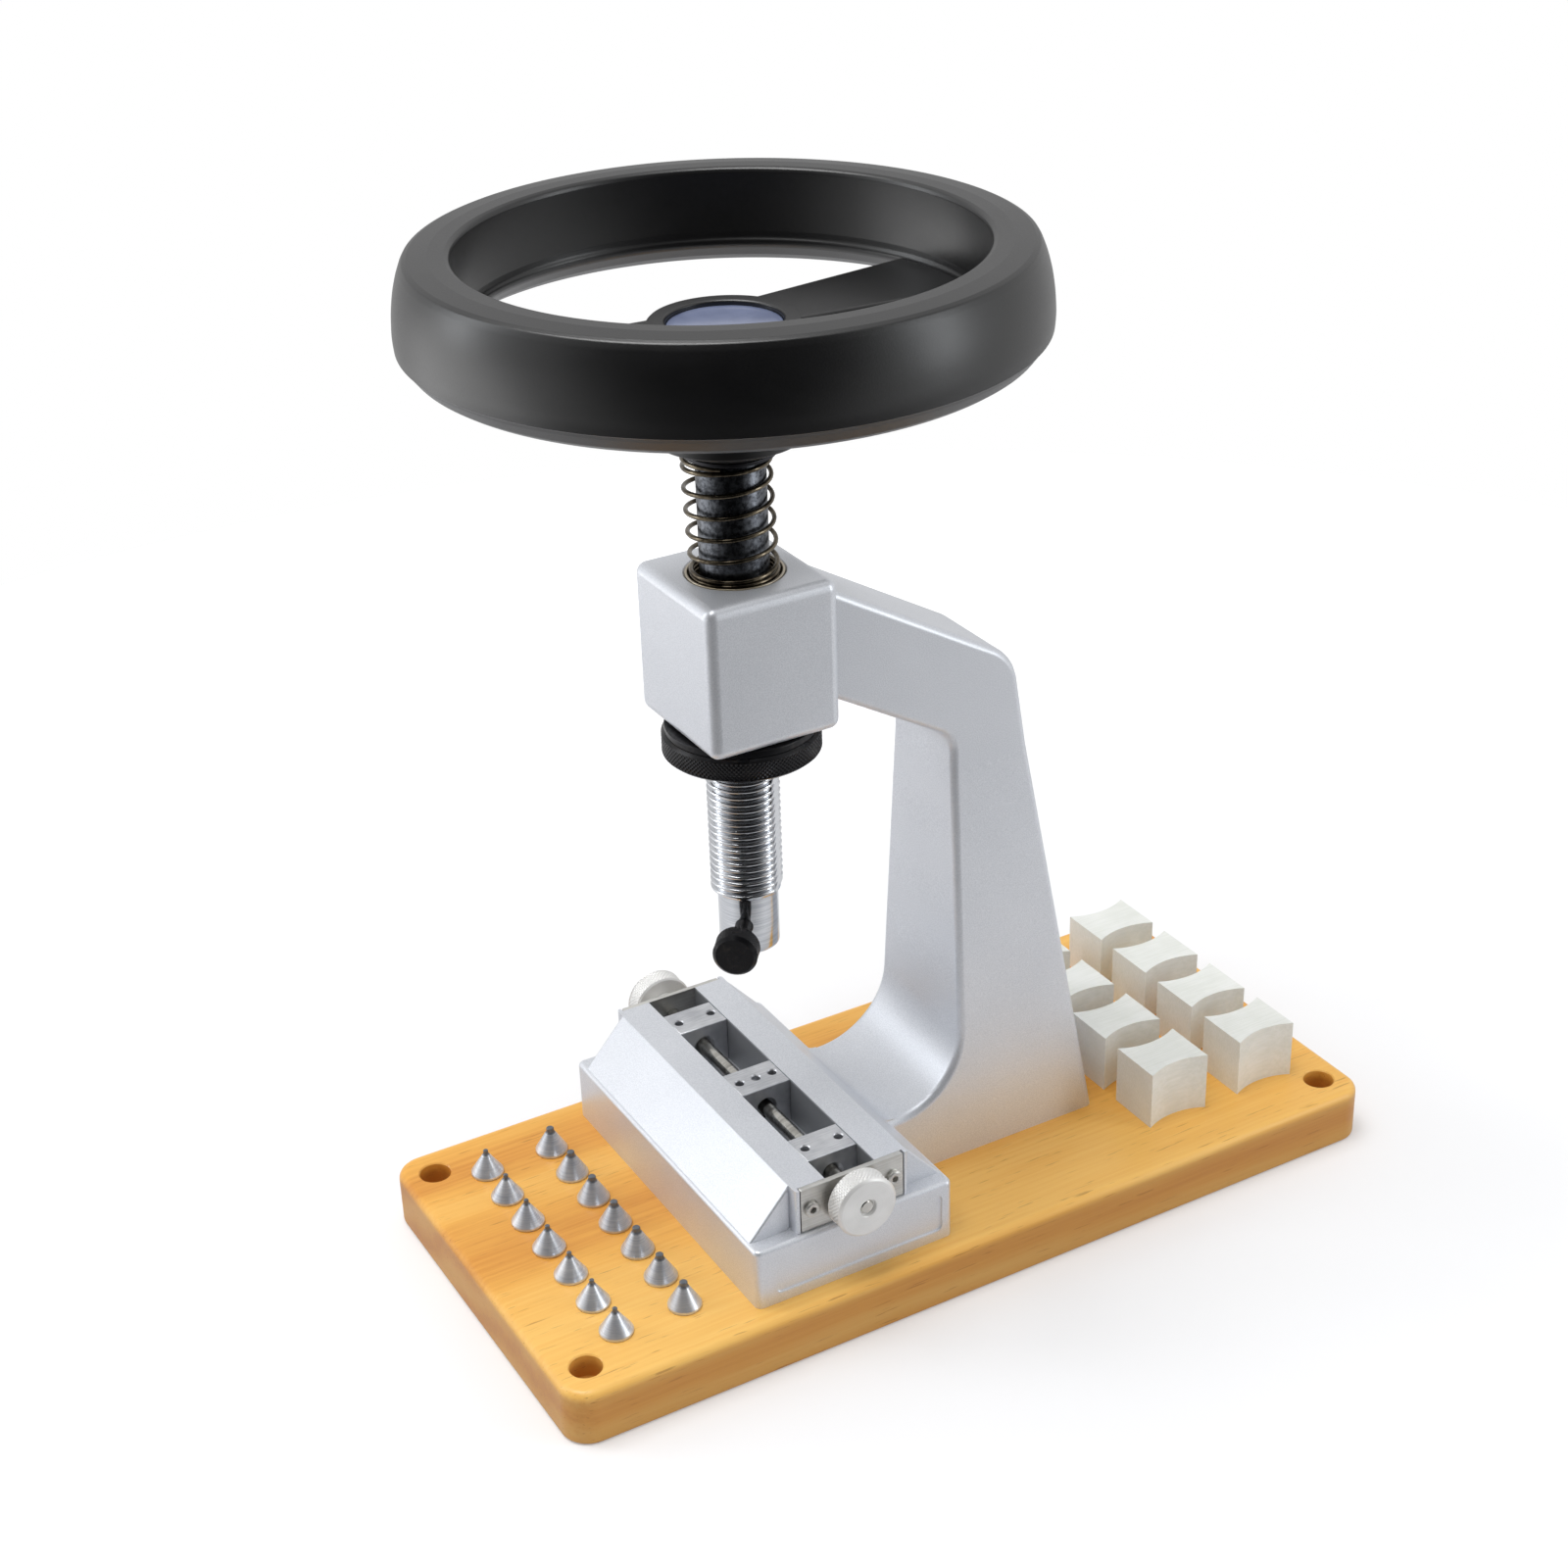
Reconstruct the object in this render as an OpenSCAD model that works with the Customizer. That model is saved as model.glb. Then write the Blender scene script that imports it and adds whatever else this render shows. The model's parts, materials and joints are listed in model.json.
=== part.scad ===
// Bench press with a handwheel, a sprung spindle and a self-centring vise on a wooden base.
// Millimetres. Z up. Origin: centre of the base's underside. The vise stands towards -Y.

/* [Wooden base] */
// length along Y
base_l = 264; // [256:1:290]
// width along X
base_w = 121; // [116:1:150]
// thickness
base_t = 17; // [16:0.5:24]
// radius of the plan corners
base_corner_r = 8; // [4:0.5:9]
// distance of the fixing holes from the long edges
base_hole_in_x = 11; // [9:0.5:14]
// distance of the fixing holes from the short edges
base_hole_in_y = 9.5; // [8:0.5:10]
// radius of the fixing holes
base_hole_r = 2.25; // [1.5:0.25:3]
// radius of the counterbores of the fixing holes
base_cbore_r = 4.5; // [4:0.25:6]
// depth of the counterbores
base_cbore_d = 7; // [4:0.5:9]

/* [Casting] */
// distance of the spindle axis in front of the base's middle
axis_back = 42.5; // [41:0.5:44]
// width of the head block
head_w = 40.5; // [36:0.5:44]
// depth of the head block
head_d = 38; // [34:0.2:40]
// height of the head block
head_h = 42; // [38:0.5:46]
// height of the head's underside above the ground
head_z = 163; // [160:0.5:180]
// corner radius of the head block
head_corner_r = 3; // [1:0.25:5]
// half width of the arm
arm_hw = 15.3; // [13:0.1:17]
// thickness of the arm, measured upright
arm_t = 31; // [26:0.1:33]
// fall of the arm per millimetre towards the back
arm_fall = 0.588; // [0.55:0.002:0.62]
// drop of the arm's top below the head's top, where they meet
arm_drop = 4.4; // [2:0.2:6]
// half width of the column at the base
foot_hw = 24; // [20:0.1:26]
// front face of the column behind the spindle axis
column_front = 56.2; // [55:0.2:60]
// foot length along Y at the base, from the column's front face
column_foot_d = 44; // [38:0.5:46]
// lean of the column's back, millimetres per millimetre
column_lean = 0.158; // [0.12:0.001:0.17]
// radius of the hollow between the column and the vise
foot_r = 22; // [16:0.5:24]
// height of the foot's flat above the base
foot_h = 19; // [17.5:0.5:21]

/* [Vise] */
// length along X of the vise's lower block
vise_l = 108; // [102:1:112]
// width along Y of the vise's lower block
vise_w = 62; // [60:1:66]
// height of the lower block
vise_low_h = 18.5; // [17.5:0.5:20]
// height of the vise above the base
vise_h = 32.5; // [32:0.5:34]
// width along Y of the vise's top
vise_top_w = 35; // [34:0.5:38]
// how far the sloped part ends inside the lower block
slope_in = 5; // [4:0.5:7]
// how far the slot's ends lie inside the lower block
tongue_in = 1.6; // [1:0.1:2.4]
// width of the slot
slot_w = 15.5; // [15:0.5:16.5]
// thickness of the end plates
plate_t = 1.5; // [1:0.1:1.7]
// width of the end plates
plate_w = 32; // [31:0.5:33.5]
// spacing of the end plates' screws
plate_screw_gap = 25.6; // [25:0.2:26.4]
// radius of the vise screw
vscrew_r = 2; // [1.6:0.1:2.1]
// depth of the vise screw's axis below the vise's top
vscrew_drop = 6.9; // [6.5:0.1:7.2]
// radius of the vise knobs
vknob_r = 9; // [6:0.1:9.5]
// length of the vise knobs
vknob_l = 6.4; // [4:0.1:9]
// radius of the vise knobs' neck
vknob_neck_r = 4.2; // [3.5:0.1:5.5]
// how much further out the left knob stands than the right one
vknob_far = 2.6; // [0:0.1:4]
// length of a jaw along the screw
jaw_l = 11; // [9:0.5:13]
// distance of a jaw's middle from the vise's middle
jaw_at = 36.4; // [30:0.1:39]
// length of the centre block
centre_l = 11.6; // [9:0.2:14]
// radius of the peg holes
peg_hole_r = 1.25; // [1:0.05:1.4]
// spacing of a jaw's two peg holes
peg_gap = 10.5; // [9.5:0.1:11]
// depth of the peg holes
peg_hole_d = 7.5; // [5:0.5:8]

/* [Spindle] */
// radius of the spindle in its bush
journal_r = 9; // [8.5:0.05:9.1]
// radius over the thread
thread_r = 10; // [9.7:0.05:10.2]
// radius of the plain lower end
nose_r = 8.2; // [7.8:0.05:8.4]
// height of the spindle's lower end above the ground
nose_z = 95.2; // [94:0.1:100]
// length of the plain lower end
nose_l = 17.2; // [15:0.1:18]
// radius of the chuck socket
socket_r = 4; // [3:0.1:4.2]
// depth of the chuck socket
socket_d = 14; // [12:0.5:15]
// distance of the flat along the thread from the axis
flat_at = 8.8; // [8.6:0.05:9.2]
// direction of the flat, in degrees
flat_az = 47; // [0:1:90]

/* [Stop nut] */
// radius of the knurled nut
nut_r = 21.2; // [19:0.1:23]
// thickness of the nut
nut_t = 6.5; // [5:0.1:8]
// radius of the keyed washer
stop_r = 20.3; // [18:0.1:21]
// thickness of the keyed washer
stop_t = 1.9; // [1.2:0.1:2.5]

/* [Lock screw] */
// height of the lock screw above the spindle's end
lock_up = 8.8; // [8:0.1:10]
// direction of the lock screw, in degrees
lock_az = -38.5; // [-60:0.5:-20]
// radius of the lock screw
lock_r = 2.45; // [2:0.05:2.6]
// radius of the thumb knob
lock_knob_r = 6.05; // [5:0.05:6.5]
// length of the thumb knob
lock_knob_l = 6.2; // [5:0.1:10]
// bare length of the lock screw between the spindle and the knob
lock_bare = 9.4; // [5:0.1:11]

/* [Bush and spring] */
// outer radius of the bush
bush_r = 12.9; // [12.7:0.05:13.5]
// length of the bush
bush_l = 20; // [12:0.5:24]
// radius of the spring's seat
seat_r = 12.15; // [12:0.05:12.3]
// depth of the spring's seat
seat_d = 3; // [1.5:0.1:4]
// diameter of the spring wire
wire_d = 1; // [0.8:0.05:1.1]
// mean radius of the spring
spring_r = 11.2; // [11:0.05:11.3]
// closed turns at the bottom
spring_low_turns = 2; // [1:0.5:2]
// open turns
spring_open_turns = 4.8; // [4:0.1:5.5]
// closed turns at the top
spring_top_turns = 1; // [1:0.5:1.5]
// rise per closed turn
spring_closed_pitch = 1.5; // [1.5:0.05:1.7]

/* [Handwheel] */
// length of the spindle
spindle_l = 172.8; // [168:0.1:180]
// radius of the spindle in the hub
hub_shaft_r = 7; // [6:0.1:7.5]
// radius of the spindle's upper thread
end_thread_r = 6; // [4:0.5:6]
// length of the spindle's upper thread
end_thread_l = 6; // [6:0.1:8]
// depth of the spindle's shoulder in the hub
shoulder_in = 2.6; // [1:0.1:4]
// size of the hub nut across its flats
hub_nut_af = 18; // [16:0.5:18]
// thickness of the hub nut
hub_nut_t = 5.6; // [4:0.1:5.8]
// radius of the cap
cap_r = 14.4; // [12:0.1:16]
// thickness of the cap
cap_t = 2; // [1:0.1:2.5]
// depth of the cap's recess
cap_in = 2.8; // [2.5:0.1:4]
// width of the wheel's key
key_w = 4; // [3:0.1:5]
// length of the wheel's key
key_l = 13; // [8:0.5:14]
// outside diameter of the handwheel
wheel_d = 160; // [156:1:170]
// height of the rim
rim_h = 26.6; // [25:0.1:30]
// width of the rim at its top
rim_w = 15.4; // [14:0.1:17]
// height of the rim's top above the hub's top
rim_rise = 19.9; // [19:0.1:21]
// radius of the hub
hub_r = 19.3; // [18:0.1:21]
// height of the hub
hub_h = 33.2; // [32:0.1:38]
// thickness of a spoke
spoke_t = 5.5; // [4:0.1:6]
// half width of a spoke at the hub
spoke_in_hw = 10.8; // [8:0.1:12]
// half width of a spoke at the rim
spoke_out_hw = 16.6; // [12:0.1:18]
// direction of the spokes, in degrees
spoke_az = 92; // [60:1:120]

/* [Holder blocks and bits] */
// length of a holder block along X
block_x = 17; // [15:0.5:18]
// width of a holder block along Y
block_y = 20; // [18:0.5:21]
// height of a holder block
block_h = 18.3; // [14:0.1:24]
// depth of the hollow at both ends of a holder block
block_hollow = 2.5; // [1:0.1:3]
// spacing of the holder blocks along X
block_gap_x = 23; // [21:0.5:25]
// spacing of the two rows of holder blocks
block_gap_y = 32; // [30:0.5:33]
// distance of the near row of holder blocks behind the column
block_back = 7.1; // [6:0.1:11]
// length of the block pins below the block
pin_down = 7; // [5:0.5:8]
// spacing of the bits along X
bit_gap_x = 13.8; // [12:0.1:14.5]
// spacing of the two rows of bits
bit_gap_y = 20.5; // [17:0.5:21]
// distance of the near row of bits in front of the vise
bit_front = 15.5; // [13:0.5:16.5]
// radius of a bit's shank
bit_r = 1.6; // [1.2:0.1:2]
// radius of a bit's conical body
bit_cone_r = 4.7; // [4:0.1:5.4]
// height of a bit above the base
bit_up = 8; // [6:0.5:10]
// length of a bit inside the base
bit_down = 9; // [5:0.5:11]

/* [Hidden] */
$fn = 64;
// clearances by name
fit_run = 0.05;
fit_slide = 0.05;
fit_fixed = 0.02;
fit_stack = 0.05;
fit_plate = 0.2;
pin_r = 1.2;
ay = -axis_back;
head_top = head_z + head_h;
arm_front = ay + head_d / 2;
arm_top_z = head_top - arm_drop;
col_y = ay + column_front;
col_back = col_y + column_foot_d;
vise_low_z = base_t + vise_low_h;
vise_z = base_t + vise_h;
foot_z = base_t + foot_h;
tongue_x = vise_l / 2 - tongue_in;
slope_x = vise_l / 2 - slope_in;
screw_z = vise_z - vscrew_drop;
jaw_top = vise_z - 0.1;
plate_back = tongue_x - plate_t;
plate_x = tongue_x;
knob_clear = 0.15;
knob_x = vise_l / 2 + knob_clear;
knob_left_x = knob_x + vknob_far;
nose_top = nose_z + nose_l;
thread_top = head_z + 0.5;
head_bore_r = thread_r + 0.5;
bush_z = head_top - bush_l;
seat_z = head_top - seat_d;
end_z = nose_z + spindle_l;
cap_seat_z = end_z + 0.4;
hub_top = cap_seat_z + cap_in;
wheel_top = hub_top + rim_rise;
hub_z = hub_top - hub_h;
thrust_t = 1;
thrust_z = hub_z - fit_fixed - thrust_t;
wheel_r = wheel_d / 2;
rim_in = wheel_r - rim_w;
shoulder_z = hub_z + shoulder_in;
hub_bore_top = end_z - end_thread_l;
hub_pocket_r = hub_nut_af * 0.6;
key_in = hub_shaft_r - 2;
spoke_end = rim_in - 2.6;
spoke_mid_hw = spoke_in_hw - (spoke_out_hw - spoke_in_hw) * hub_r / (spoke_end - hub_r);
stop_z = head_z - 0.1 - stop_t;
nut_z = stop_z - fit_stack - nut_t;
lock_z = nose_z + lock_up;
pad_in = socket_r + 0.15;
pad_t = 1;
knob_in = nose_r + lock_bare;
knob_out = knob_in + lock_knob_l;
cscrew_y = 4.5;
base_bolt_r = 2.5;
block_near_y = col_back + block_back + block_y / 2;
block_row_y = [block_near_y, block_near_y + block_gap_y];
bit_near_y = ay - vise_w / 2 - bit_front;
bit_row_y = [bit_near_y - bit_gap_y, bit_near_y];

// points of an arc that rounds the corner b between a and c
function unit(v) = v / norm(v);
function fillet(a, b, c, r, n) =
    let(u = unit(a - b), v = unit(c - b), h = acos(u * v) / 2,
        o = b + unit(u + v) * r / sin(h),
        s = b + u * r / tan(h), e = b + v * r / tan(h),
        a0 = atan2(s.y - o.y, s.x - o.x), a1 = atan2(e.y - o.y, e.x - o.x),
        da = ((a1 - a0 + 540) % 360) - 180)
    [for (i = [0:n]) o + r * [cos(a0 + da * i / n), sin(a0 + da * i / n)]];

// upright block with rounded plan corners
module slab(x, y, h, r) {
    linear_extrude(h) {
        square([x - 2 * r, y], center = true);
        square([x, y - 2 * r], center = true);
        for (i = [-1, 1], j = [-1, 1]) {
            translate([i * (x / 2 - r), j * (y / 2 - r)]) circle(r);
        }
    }
}

// upright cylinder between two heights
module rod(x, y, z0, z1, r) {
    translate([x, y, z0]) cylinder(h = z1 - z0, r = r);
}

// cylinder along X between two places
module rod_x(x0, x1, y, z, r) {
    translate([x0, y, z]) rotate([0, 90, 0]) cylinder(h = x1 - x0, r = r);
}

// cylinder along the lock screw's direction between two distances from the spindle axis
module rod_lock(s0, s1, r) {
    translate([0, ay, lock_z]) rotate([0, 90, lock_az]) translate([0, 0, s0]) cylinder(h = s1 - s0, r = r);
}

// profile in Y and Z, drawn out along X about the middle
module along_x(w) {
    rotate([90, 0, 90]) translate([0, 0, -w / 2]) linear_extrude(w) children();
}

/* places that several pieces share */
function bolt_places() = [[-38, ay], [38, ay], [-12, col_y + 20], [12, col_y + 20]];
function block_place(k) = [(k % 4 - 1.5) * block_gap_x, block_row_y[floor(k / 4)]];
function bit_place(k) = [(k % 7 - 3) * bit_gap_x, bit_row_y[floor(k / 7)]];

module wooden_base() {
    color([0.76, 0.5, 0.2]) difference() {
        slab(base_w, base_l, base_t, base_corner_r);
        for (i = [-1, 1], j = [-1, 1]) {
            x = i * (base_w / 2 - base_hole_in_x);
            y = j * (base_l / 2 - base_hole_in_y);
            rod(x, y, -1, base_t + 1, base_hole_r);
            rod(x, y, base_t - base_cbore_d, base_t + 1, base_cbore_r);
        }
        for (p = bolt_places()) {
            rod(p.x, p.y, -1, base_t + 1, base_bolt_r + 0.3);
            rod(p.x, p.y, -1, 6.5, base_bolt_r + 3);
        }
        for (k = [0:7], j = [-1, 1]) {
            p = block_place(k);
            rod(p.x, p.y + j * peg_gap / 2, base_t - pin_down - 1, base_t + 1, pin_r + fit_run);
        }
        for (k = [0:13]) {
            p = bit_place(k);
            rod(p.x, p.y, base_t - bit_down - 1, base_t + 1, bit_r + fit_run);
        }
    }
}

// side view of the foot, column and arm
module side_view() {
    a = [col_back, base_t];
    corner_y = (col_back / column_lean + base_t - arm_top_z - arm_fall * arm_front) /
        (1 / column_lean - arm_fall);
    b = [corner_y, arm_top_z - arm_fall * (corner_y - arm_front)];
    c = [arm_front - 6, arm_top_z + 6 * arm_fall];
    d = [arm_front - 6, c.y - arm_t];
    e = [col_y, d.y - arm_fall * (col_y - d.x)];
    f = [col_y - 1.6, foot_z];
    g = [ay + 10, foot_z];
    h = [ay + 10, base_t];
    polygon(concat([a], fillet(a, b, c, 15, 8), [c, d], fillet(d, e, f, 8, 6),
        fillet(e, f, g, foot_r, 12), [g, h]));
}

module frame_casting() {
    color([0.78, 0.79, 0.81]) difference() {
        union() {
            intersection() {
                along_x(2 * foot_hw + 1) side_view();
                rotate([90, 0, 0]) linear_extrude(400, center = true)
                    polygon([[-foot_hw, base_t], [foot_hw, base_t], [arm_hw, head_z - 24],
                        [arm_hw, head_top + 10], [-arm_hw, head_top + 10], [-arm_hw, head_z - 24]]);
            }
            translate([0, ay, head_z]) slab(head_w, head_d, head_h, head_corner_r);
            translate([0, ay, base_t]) slab(vise_l, vise_w, vise_low_h, 2);
            translate([0, ay, 0]) along_x(2 * slope_x)
                polygon([[-vise_w / 2 + 1, vise_low_z - 1], [-vise_w / 2 + 1, vise_low_z],
                    [-vise_top_w / 2, vise_z], [vise_top_w / 2, vise_z],
                    [vise_w / 2 - 1, vise_low_z], [vise_w / 2 - 1, vise_low_z - 1]]);
            translate([-tongue_x, ay - vise_top_w / 2, vise_low_z - 1])
                cube([2 * tongue_x, vise_top_w, vise_z - vise_low_z + 1]);
        }
        // the slot for the jaws
        translate([-tongue_x - 1, ay - slot_w / 2, vise_low_z]) cube([2 * tongue_x + 2, slot_w, 30]);
        // shallow seats for the end plates, between two ribs
        for (i = [-1, 1]) {
            translate([i * (plate_back + 1) - 1, ay - plate_w / 2 - fit_plate, vise_low_z])
                cube([2, plate_w + 2 * fit_plate, 30]);
        }
        // bush bore and the wider bore below it
        rod(0, ay, bush_z, head_top + 1, bush_r);
        rod(0, ay, head_z - 1, bush_z + 0.5, head_bore_r);
        // shallow panel on the end of the lower block
        translate([vise_l / 2 - 0.6, ay - vise_w / 2 + 6, base_t + 3])
            cube([2, vise_w - 9.5, vise_low_h - 6.5]);
        // tapped holes for the base bolts
        for (p = bolt_places()) {
            rod(p.x, p.y, base_t - 1, base_t + 15, base_bolt_r);
        }
        // holes for the centre block's screws
        for (j = [-1, 1]) {
            rod(0, ay + j * cscrew_y, base_t - 1, vise_low_z + 1, 1.65);
            rod(0, ay + j * cscrew_y, base_t - 1, base_t + 8, 3.2);
        }
        // tapped holes for the end plates
        for (i = [-1, 1], j = [-1, 1]) {
            rod_x(i * tongue_x - 8, i * tongue_x + 8, ay + j * plate_screw_gap / 2, screw_z, 1.25);
        }
    }
}

module casting_screws() {
    color([0.55, 0.56, 0.58]) for (p = bolt_places()) {
        difference() {
            union() {
                rod(p.x, p.y, 1.5, 6.5, base_bolt_r + 1.9);
                rod(p.x, p.y, 6, base_t + 12, base_bolt_r - fit_fixed);
            }
            translate([p.x, p.y, 0]) cylinder(h = 4, r = 2.3, $fn = 6);
        }
    }
}

module head_bush() {
    color([0.62, 0.56, 0.44]) difference() {
        rod(0, ay, bush_z + fit_fixed, head_top, bush_r - fit_fixed);
        rod(0, ay, bush_z - 1, head_top + 1, journal_r + fit_run);
        rod(0, ay, seat_z, head_top + 1, seat_r);
    }
}

module thrust_washer() {
    color([0.5, 0.5, 0.52]) difference() {
        rod(0, ay, thrust_z, thrust_z + thrust_t, 12);
        rod(0, ay, thrust_z - 1, thrust_z + 3, journal_r + fit_run);
    }
}

// height of the spring's centre line after t turns
spring_z0 = seat_z + fit_fixed + wire_d / 2;
spring_z1 = thrust_z - fit_fixed - wire_d / 2;
spring_turns = spring_low_turns + spring_open_turns + spring_top_turns;
spring_open_pitch = (spring_z1 - spring_z0 - (spring_low_turns + spring_top_turns) * spring_closed_pitch)
    / spring_open_turns;
function spring_rise(t) =
    t < spring_low_turns ? t * spring_closed_pitch :
    t < spring_low_turns + spring_open_turns ?
        spring_low_turns * spring_closed_pitch + (t - spring_low_turns) * spring_open_pitch :
    spring_z1 - spring_z0 - (spring_turns - t) * spring_closed_pitch;
function spring_point(t) =
    [spring_r * cos(360 * t), ay + spring_r * sin(360 * t), spring_z0 + spring_rise(t)];
spring_n = ceil(spring_turns * 8);
spring_path = [for (i = [0:spring_n]) spring_point(spring_turns * i / spring_n)];
spring_gap = min([for (i = [0:spring_n], j = [i + 5:1:min(i + 12, spring_n)])
    norm(spring_path[i] - spring_path[j])]) - wire_d;
echo(str("least gap of the spring to itself: ", spring_gap));

module return_spring() {
    sides = 6;
    pts = [for (i = [0:spring_n]) let(
            p = spring_path[i], a = 360 * spring_turns * i / spring_n, o = [cos(a), sin(a), 0])
        for (k = [0:sides - 1]) p + wire_d / 2 * (cos(360 * k / sides) * o + [0, 0, sin(360 * k / sides)])];
    walls = [for (i = [0:spring_n - 1], k = [0:sides - 1]) let(
            q = i * sides, m = (k + 1) % sides)
        each [[q + k, q + m, q + sides + m], [q + k, q + sides + m, q + sides + k]]];
    low = [for (k = [1:sides - 2]) [0, k + 1, k]];
    high = [for (k = [1:sides - 2]) let(q = spring_n * sides) [q, q + k, q + k + 1]];
    color([0.5, 0.46, 0.4]) polyhedron(pts, concat(walls, low, high), 8);
}

module spindle() {
    color([0.7, 0.71, 0.73]) difference() {
        union() {
            rod(0, ay, nose_z, nose_top + 1, nose_r);
            rod(0, ay, nose_top, thread_top, thread_r);
            rod(0, ay, thread_top - 1, shoulder_z, journal_r);
            rod(0, ay, shoulder_z - 1, hub_bore_top, hub_shaft_r);
            rod(0, ay, hub_bore_top - 1, end_z, end_thread_r);
        }
        rod(0, ay, nose_z - 1, nose_z + socket_d, socket_r);
        rod_lock(0, nose_r + 3, lock_r + fit_run);
        translate([0, ay, nose_top - 0.5]) rotate([0, 0, flat_az]) translate([flat_at, -20, 0])
            cube([20, 40, thread_top - nose_top + 1]);
        translate([key_in, ay - key_w / 2, hub_bore_top - key_l - 4]) cube([10, key_w, key_l]);
    }
}

module rim_view() {
    t = wheel_top;
    b = wheel_top - rim_h;
    u = rim_w;
    v = rim_h;
    polygon([[rim_in, t - 0.023 * v], [rim_in + 0.065 * u, t - 0.004 * v], [rim_in + 0.416 * u, t],
        [wheel_r - 0.305 * u, t - 0.056 * v], [wheel_r - 0.117 * u, t - 0.203 * v],
        [wheel_r - 0.026 * u, t - 0.432 * v], [wheel_r, t - 0.658 * v],
        [wheel_r - 0.045 * u, t - 0.782 * v], [wheel_r - 0.175 * u, b + 0.132 * v],
        [wheel_r - 0.39 * u, b + 0.068 * v], [wheel_r - 0.65 * u, b + 0.023 * v],
        [wheel_r - 0.877 * u, b], [rim_in - 0.071 * u, b + 0.015 * v], [rim_in - 0.214 * u, b + 0.075 * v],
        [rim_in - 0.26 * u, b + 0.158 * v], [rim_in - 0.247 * u, b + 0.308 * v],
        [rim_in - 0.149 * u, b + 0.323 * v], [rim_in - 0.091 * u, b + 0.583 * v]]);
}

module handwheel() {
    color([0.1, 0.1, 0.11]) difference() {
        union() {
            translate([0, ay, 0]) rotate_extrude($fn = 128) rim_view();
            translate([0, ay, hub_z]) rotate_extrude()
                polygon([[0, 0], [11.4, 0], [hub_r, 3.6], [hub_r, hub_h - 0.7], [hub_r - 0.7, hub_h], [0, hub_h]]);
            // both spokes in one plate through the hub
            translate([0, ay, hub_top - spoke_t]) rotate([0, 0, spoke_az]) linear_extrude(spoke_t)
                polygon([[-spoke_end, -spoke_out_hw], [0, -spoke_mid_hw], [spoke_end, -spoke_out_hw],
                    [spoke_end, spoke_out_hw], [0, spoke_mid_hw], [-spoke_end, spoke_out_hw]]);
        }
        rod(0, ay, hub_z - 1, shoulder_z + fit_fixed, journal_r + fit_fixed);
        rod(0, ay, hub_z, hub_bore_top + 1, hub_shaft_r + fit_fixed);
        rod(0, ay, hub_bore_top, hub_top + 1, hub_pocket_r);
        rod(0, ay, cap_seat_z, hub_top + 1, cap_r + 0.1);
        translate([key_in, ay - key_w / 2 - fit_fixed, shoulder_z + 2])
            cube([4.05, key_w + 2 * fit_fixed, hub_top - shoulder_z]);
    }
}

module wheel_key() {
    color([0.6, 0.6, 0.62])
        translate([key_in + fit_fixed, ay - key_w / 2 + fit_fixed, hub_bore_top - key_l - 4 + fit_fixed])
            cube([4, key_w - 2 * fit_fixed, key_l - 2 * fit_fixed]);
}

module hub_nut() {
    color([0.6, 0.6, 0.62]) difference() {
        rod_z0 = hub_bore_top + fit_fixed;
        translate([0, ay, rod_z0]) cylinder(h = hub_nut_t, r = hub_nut_af / sqrt(3), $fn = 6);
        rod(0, ay, rod_z0 - 1, rod_z0 + hub_nut_t + 1, end_thread_r + fit_fixed);
    }
}

module hub_cap() {
    color([0.35, 0.42, 0.55]) rod(0, ay, cap_seat_z + fit_fixed, cap_seat_z + cap_t, cap_r);
}

module stop_washer() {
    color([0.09, 0.09, 0.1]) difference() {
        rod(0, ay, stop_z, stop_z + stop_t, stop_r);
        difference() {
            rod(0, ay, stop_z - 1, stop_z + stop_t + 1, thread_r + 0.08);
            translate([0, ay, stop_z - 2]) rotate([0, 0, flat_az]) translate([flat_at + 0.06, -20, 0])
                cube([20, 40, stop_t + 4]);
        }
    }
}

module ring_nut() {
    color([0.09, 0.09, 0.1]) difference() {
        translate([0, ay, nut_z]) rotate_extrude()
            polygon([[0, 0], [nut_r - 0.8, 0], [nut_r, 0.8], [nut_r, nut_t - 0.8], [nut_r - 0.8, nut_t], [0, nut_t]]);
        rod(0, ay, nut_z - 1, nut_z + nut_t + 1, thread_r + fit_run);
    }
}

module lock_pad() {
    color([0.75, 0.6, 0.3]) rod_lock(pad_in, pad_in + pad_t, lock_r - 0.05);
}

module lock_screw() {
    color([0.3, 0.3, 0.32]) rod_lock(pad_in + pad_t + fit_stack, knob_out - 2.5, lock_r);
}

module lock_knob() {
    color([0.1, 0.1, 0.11]) difference() {
        rod_lock(knob_in, knob_out, lock_knob_r);
        rod_lock(knob_in - 1, knob_out - 2.4, lock_r + fit_fixed);
    }
}

module vise_screw() {
    color([0.72, 0.71, 0.68]) rod_x(-knob_left_x - vknob_l + 0.5, knob_x + vknob_l - 0.5, ay, screw_z, vscrew_r);
}

module vise_knob(side) {
    x = side < 0 ? knob_left_x : knob_x;
    neck = x - plate_x - knob_clear;
    color([0.8, 0.8, 0.8]) difference() {
        translate([side * x, ay, screw_z]) rotate([0, side * 90, 0]) rotate_extrude()
            polygon([[0, -neck], [vknob_neck_r, -neck], [vknob_neck_r, 0], [vknob_r - 0.4, 0],
                [vknob_r, 0.4], [vknob_r, vknob_l - 0.5],
                [vknob_r - 0.5, vknob_l], [0, vknob_l]]);
        rod_x(-90, 90, ay, screw_z, vscrew_r + fit_fixed);
    }
}

module vise_knob_left() {
    vise_knob(-1);
}

module vise_knob_right() {
    vise_knob(1);
}

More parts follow.
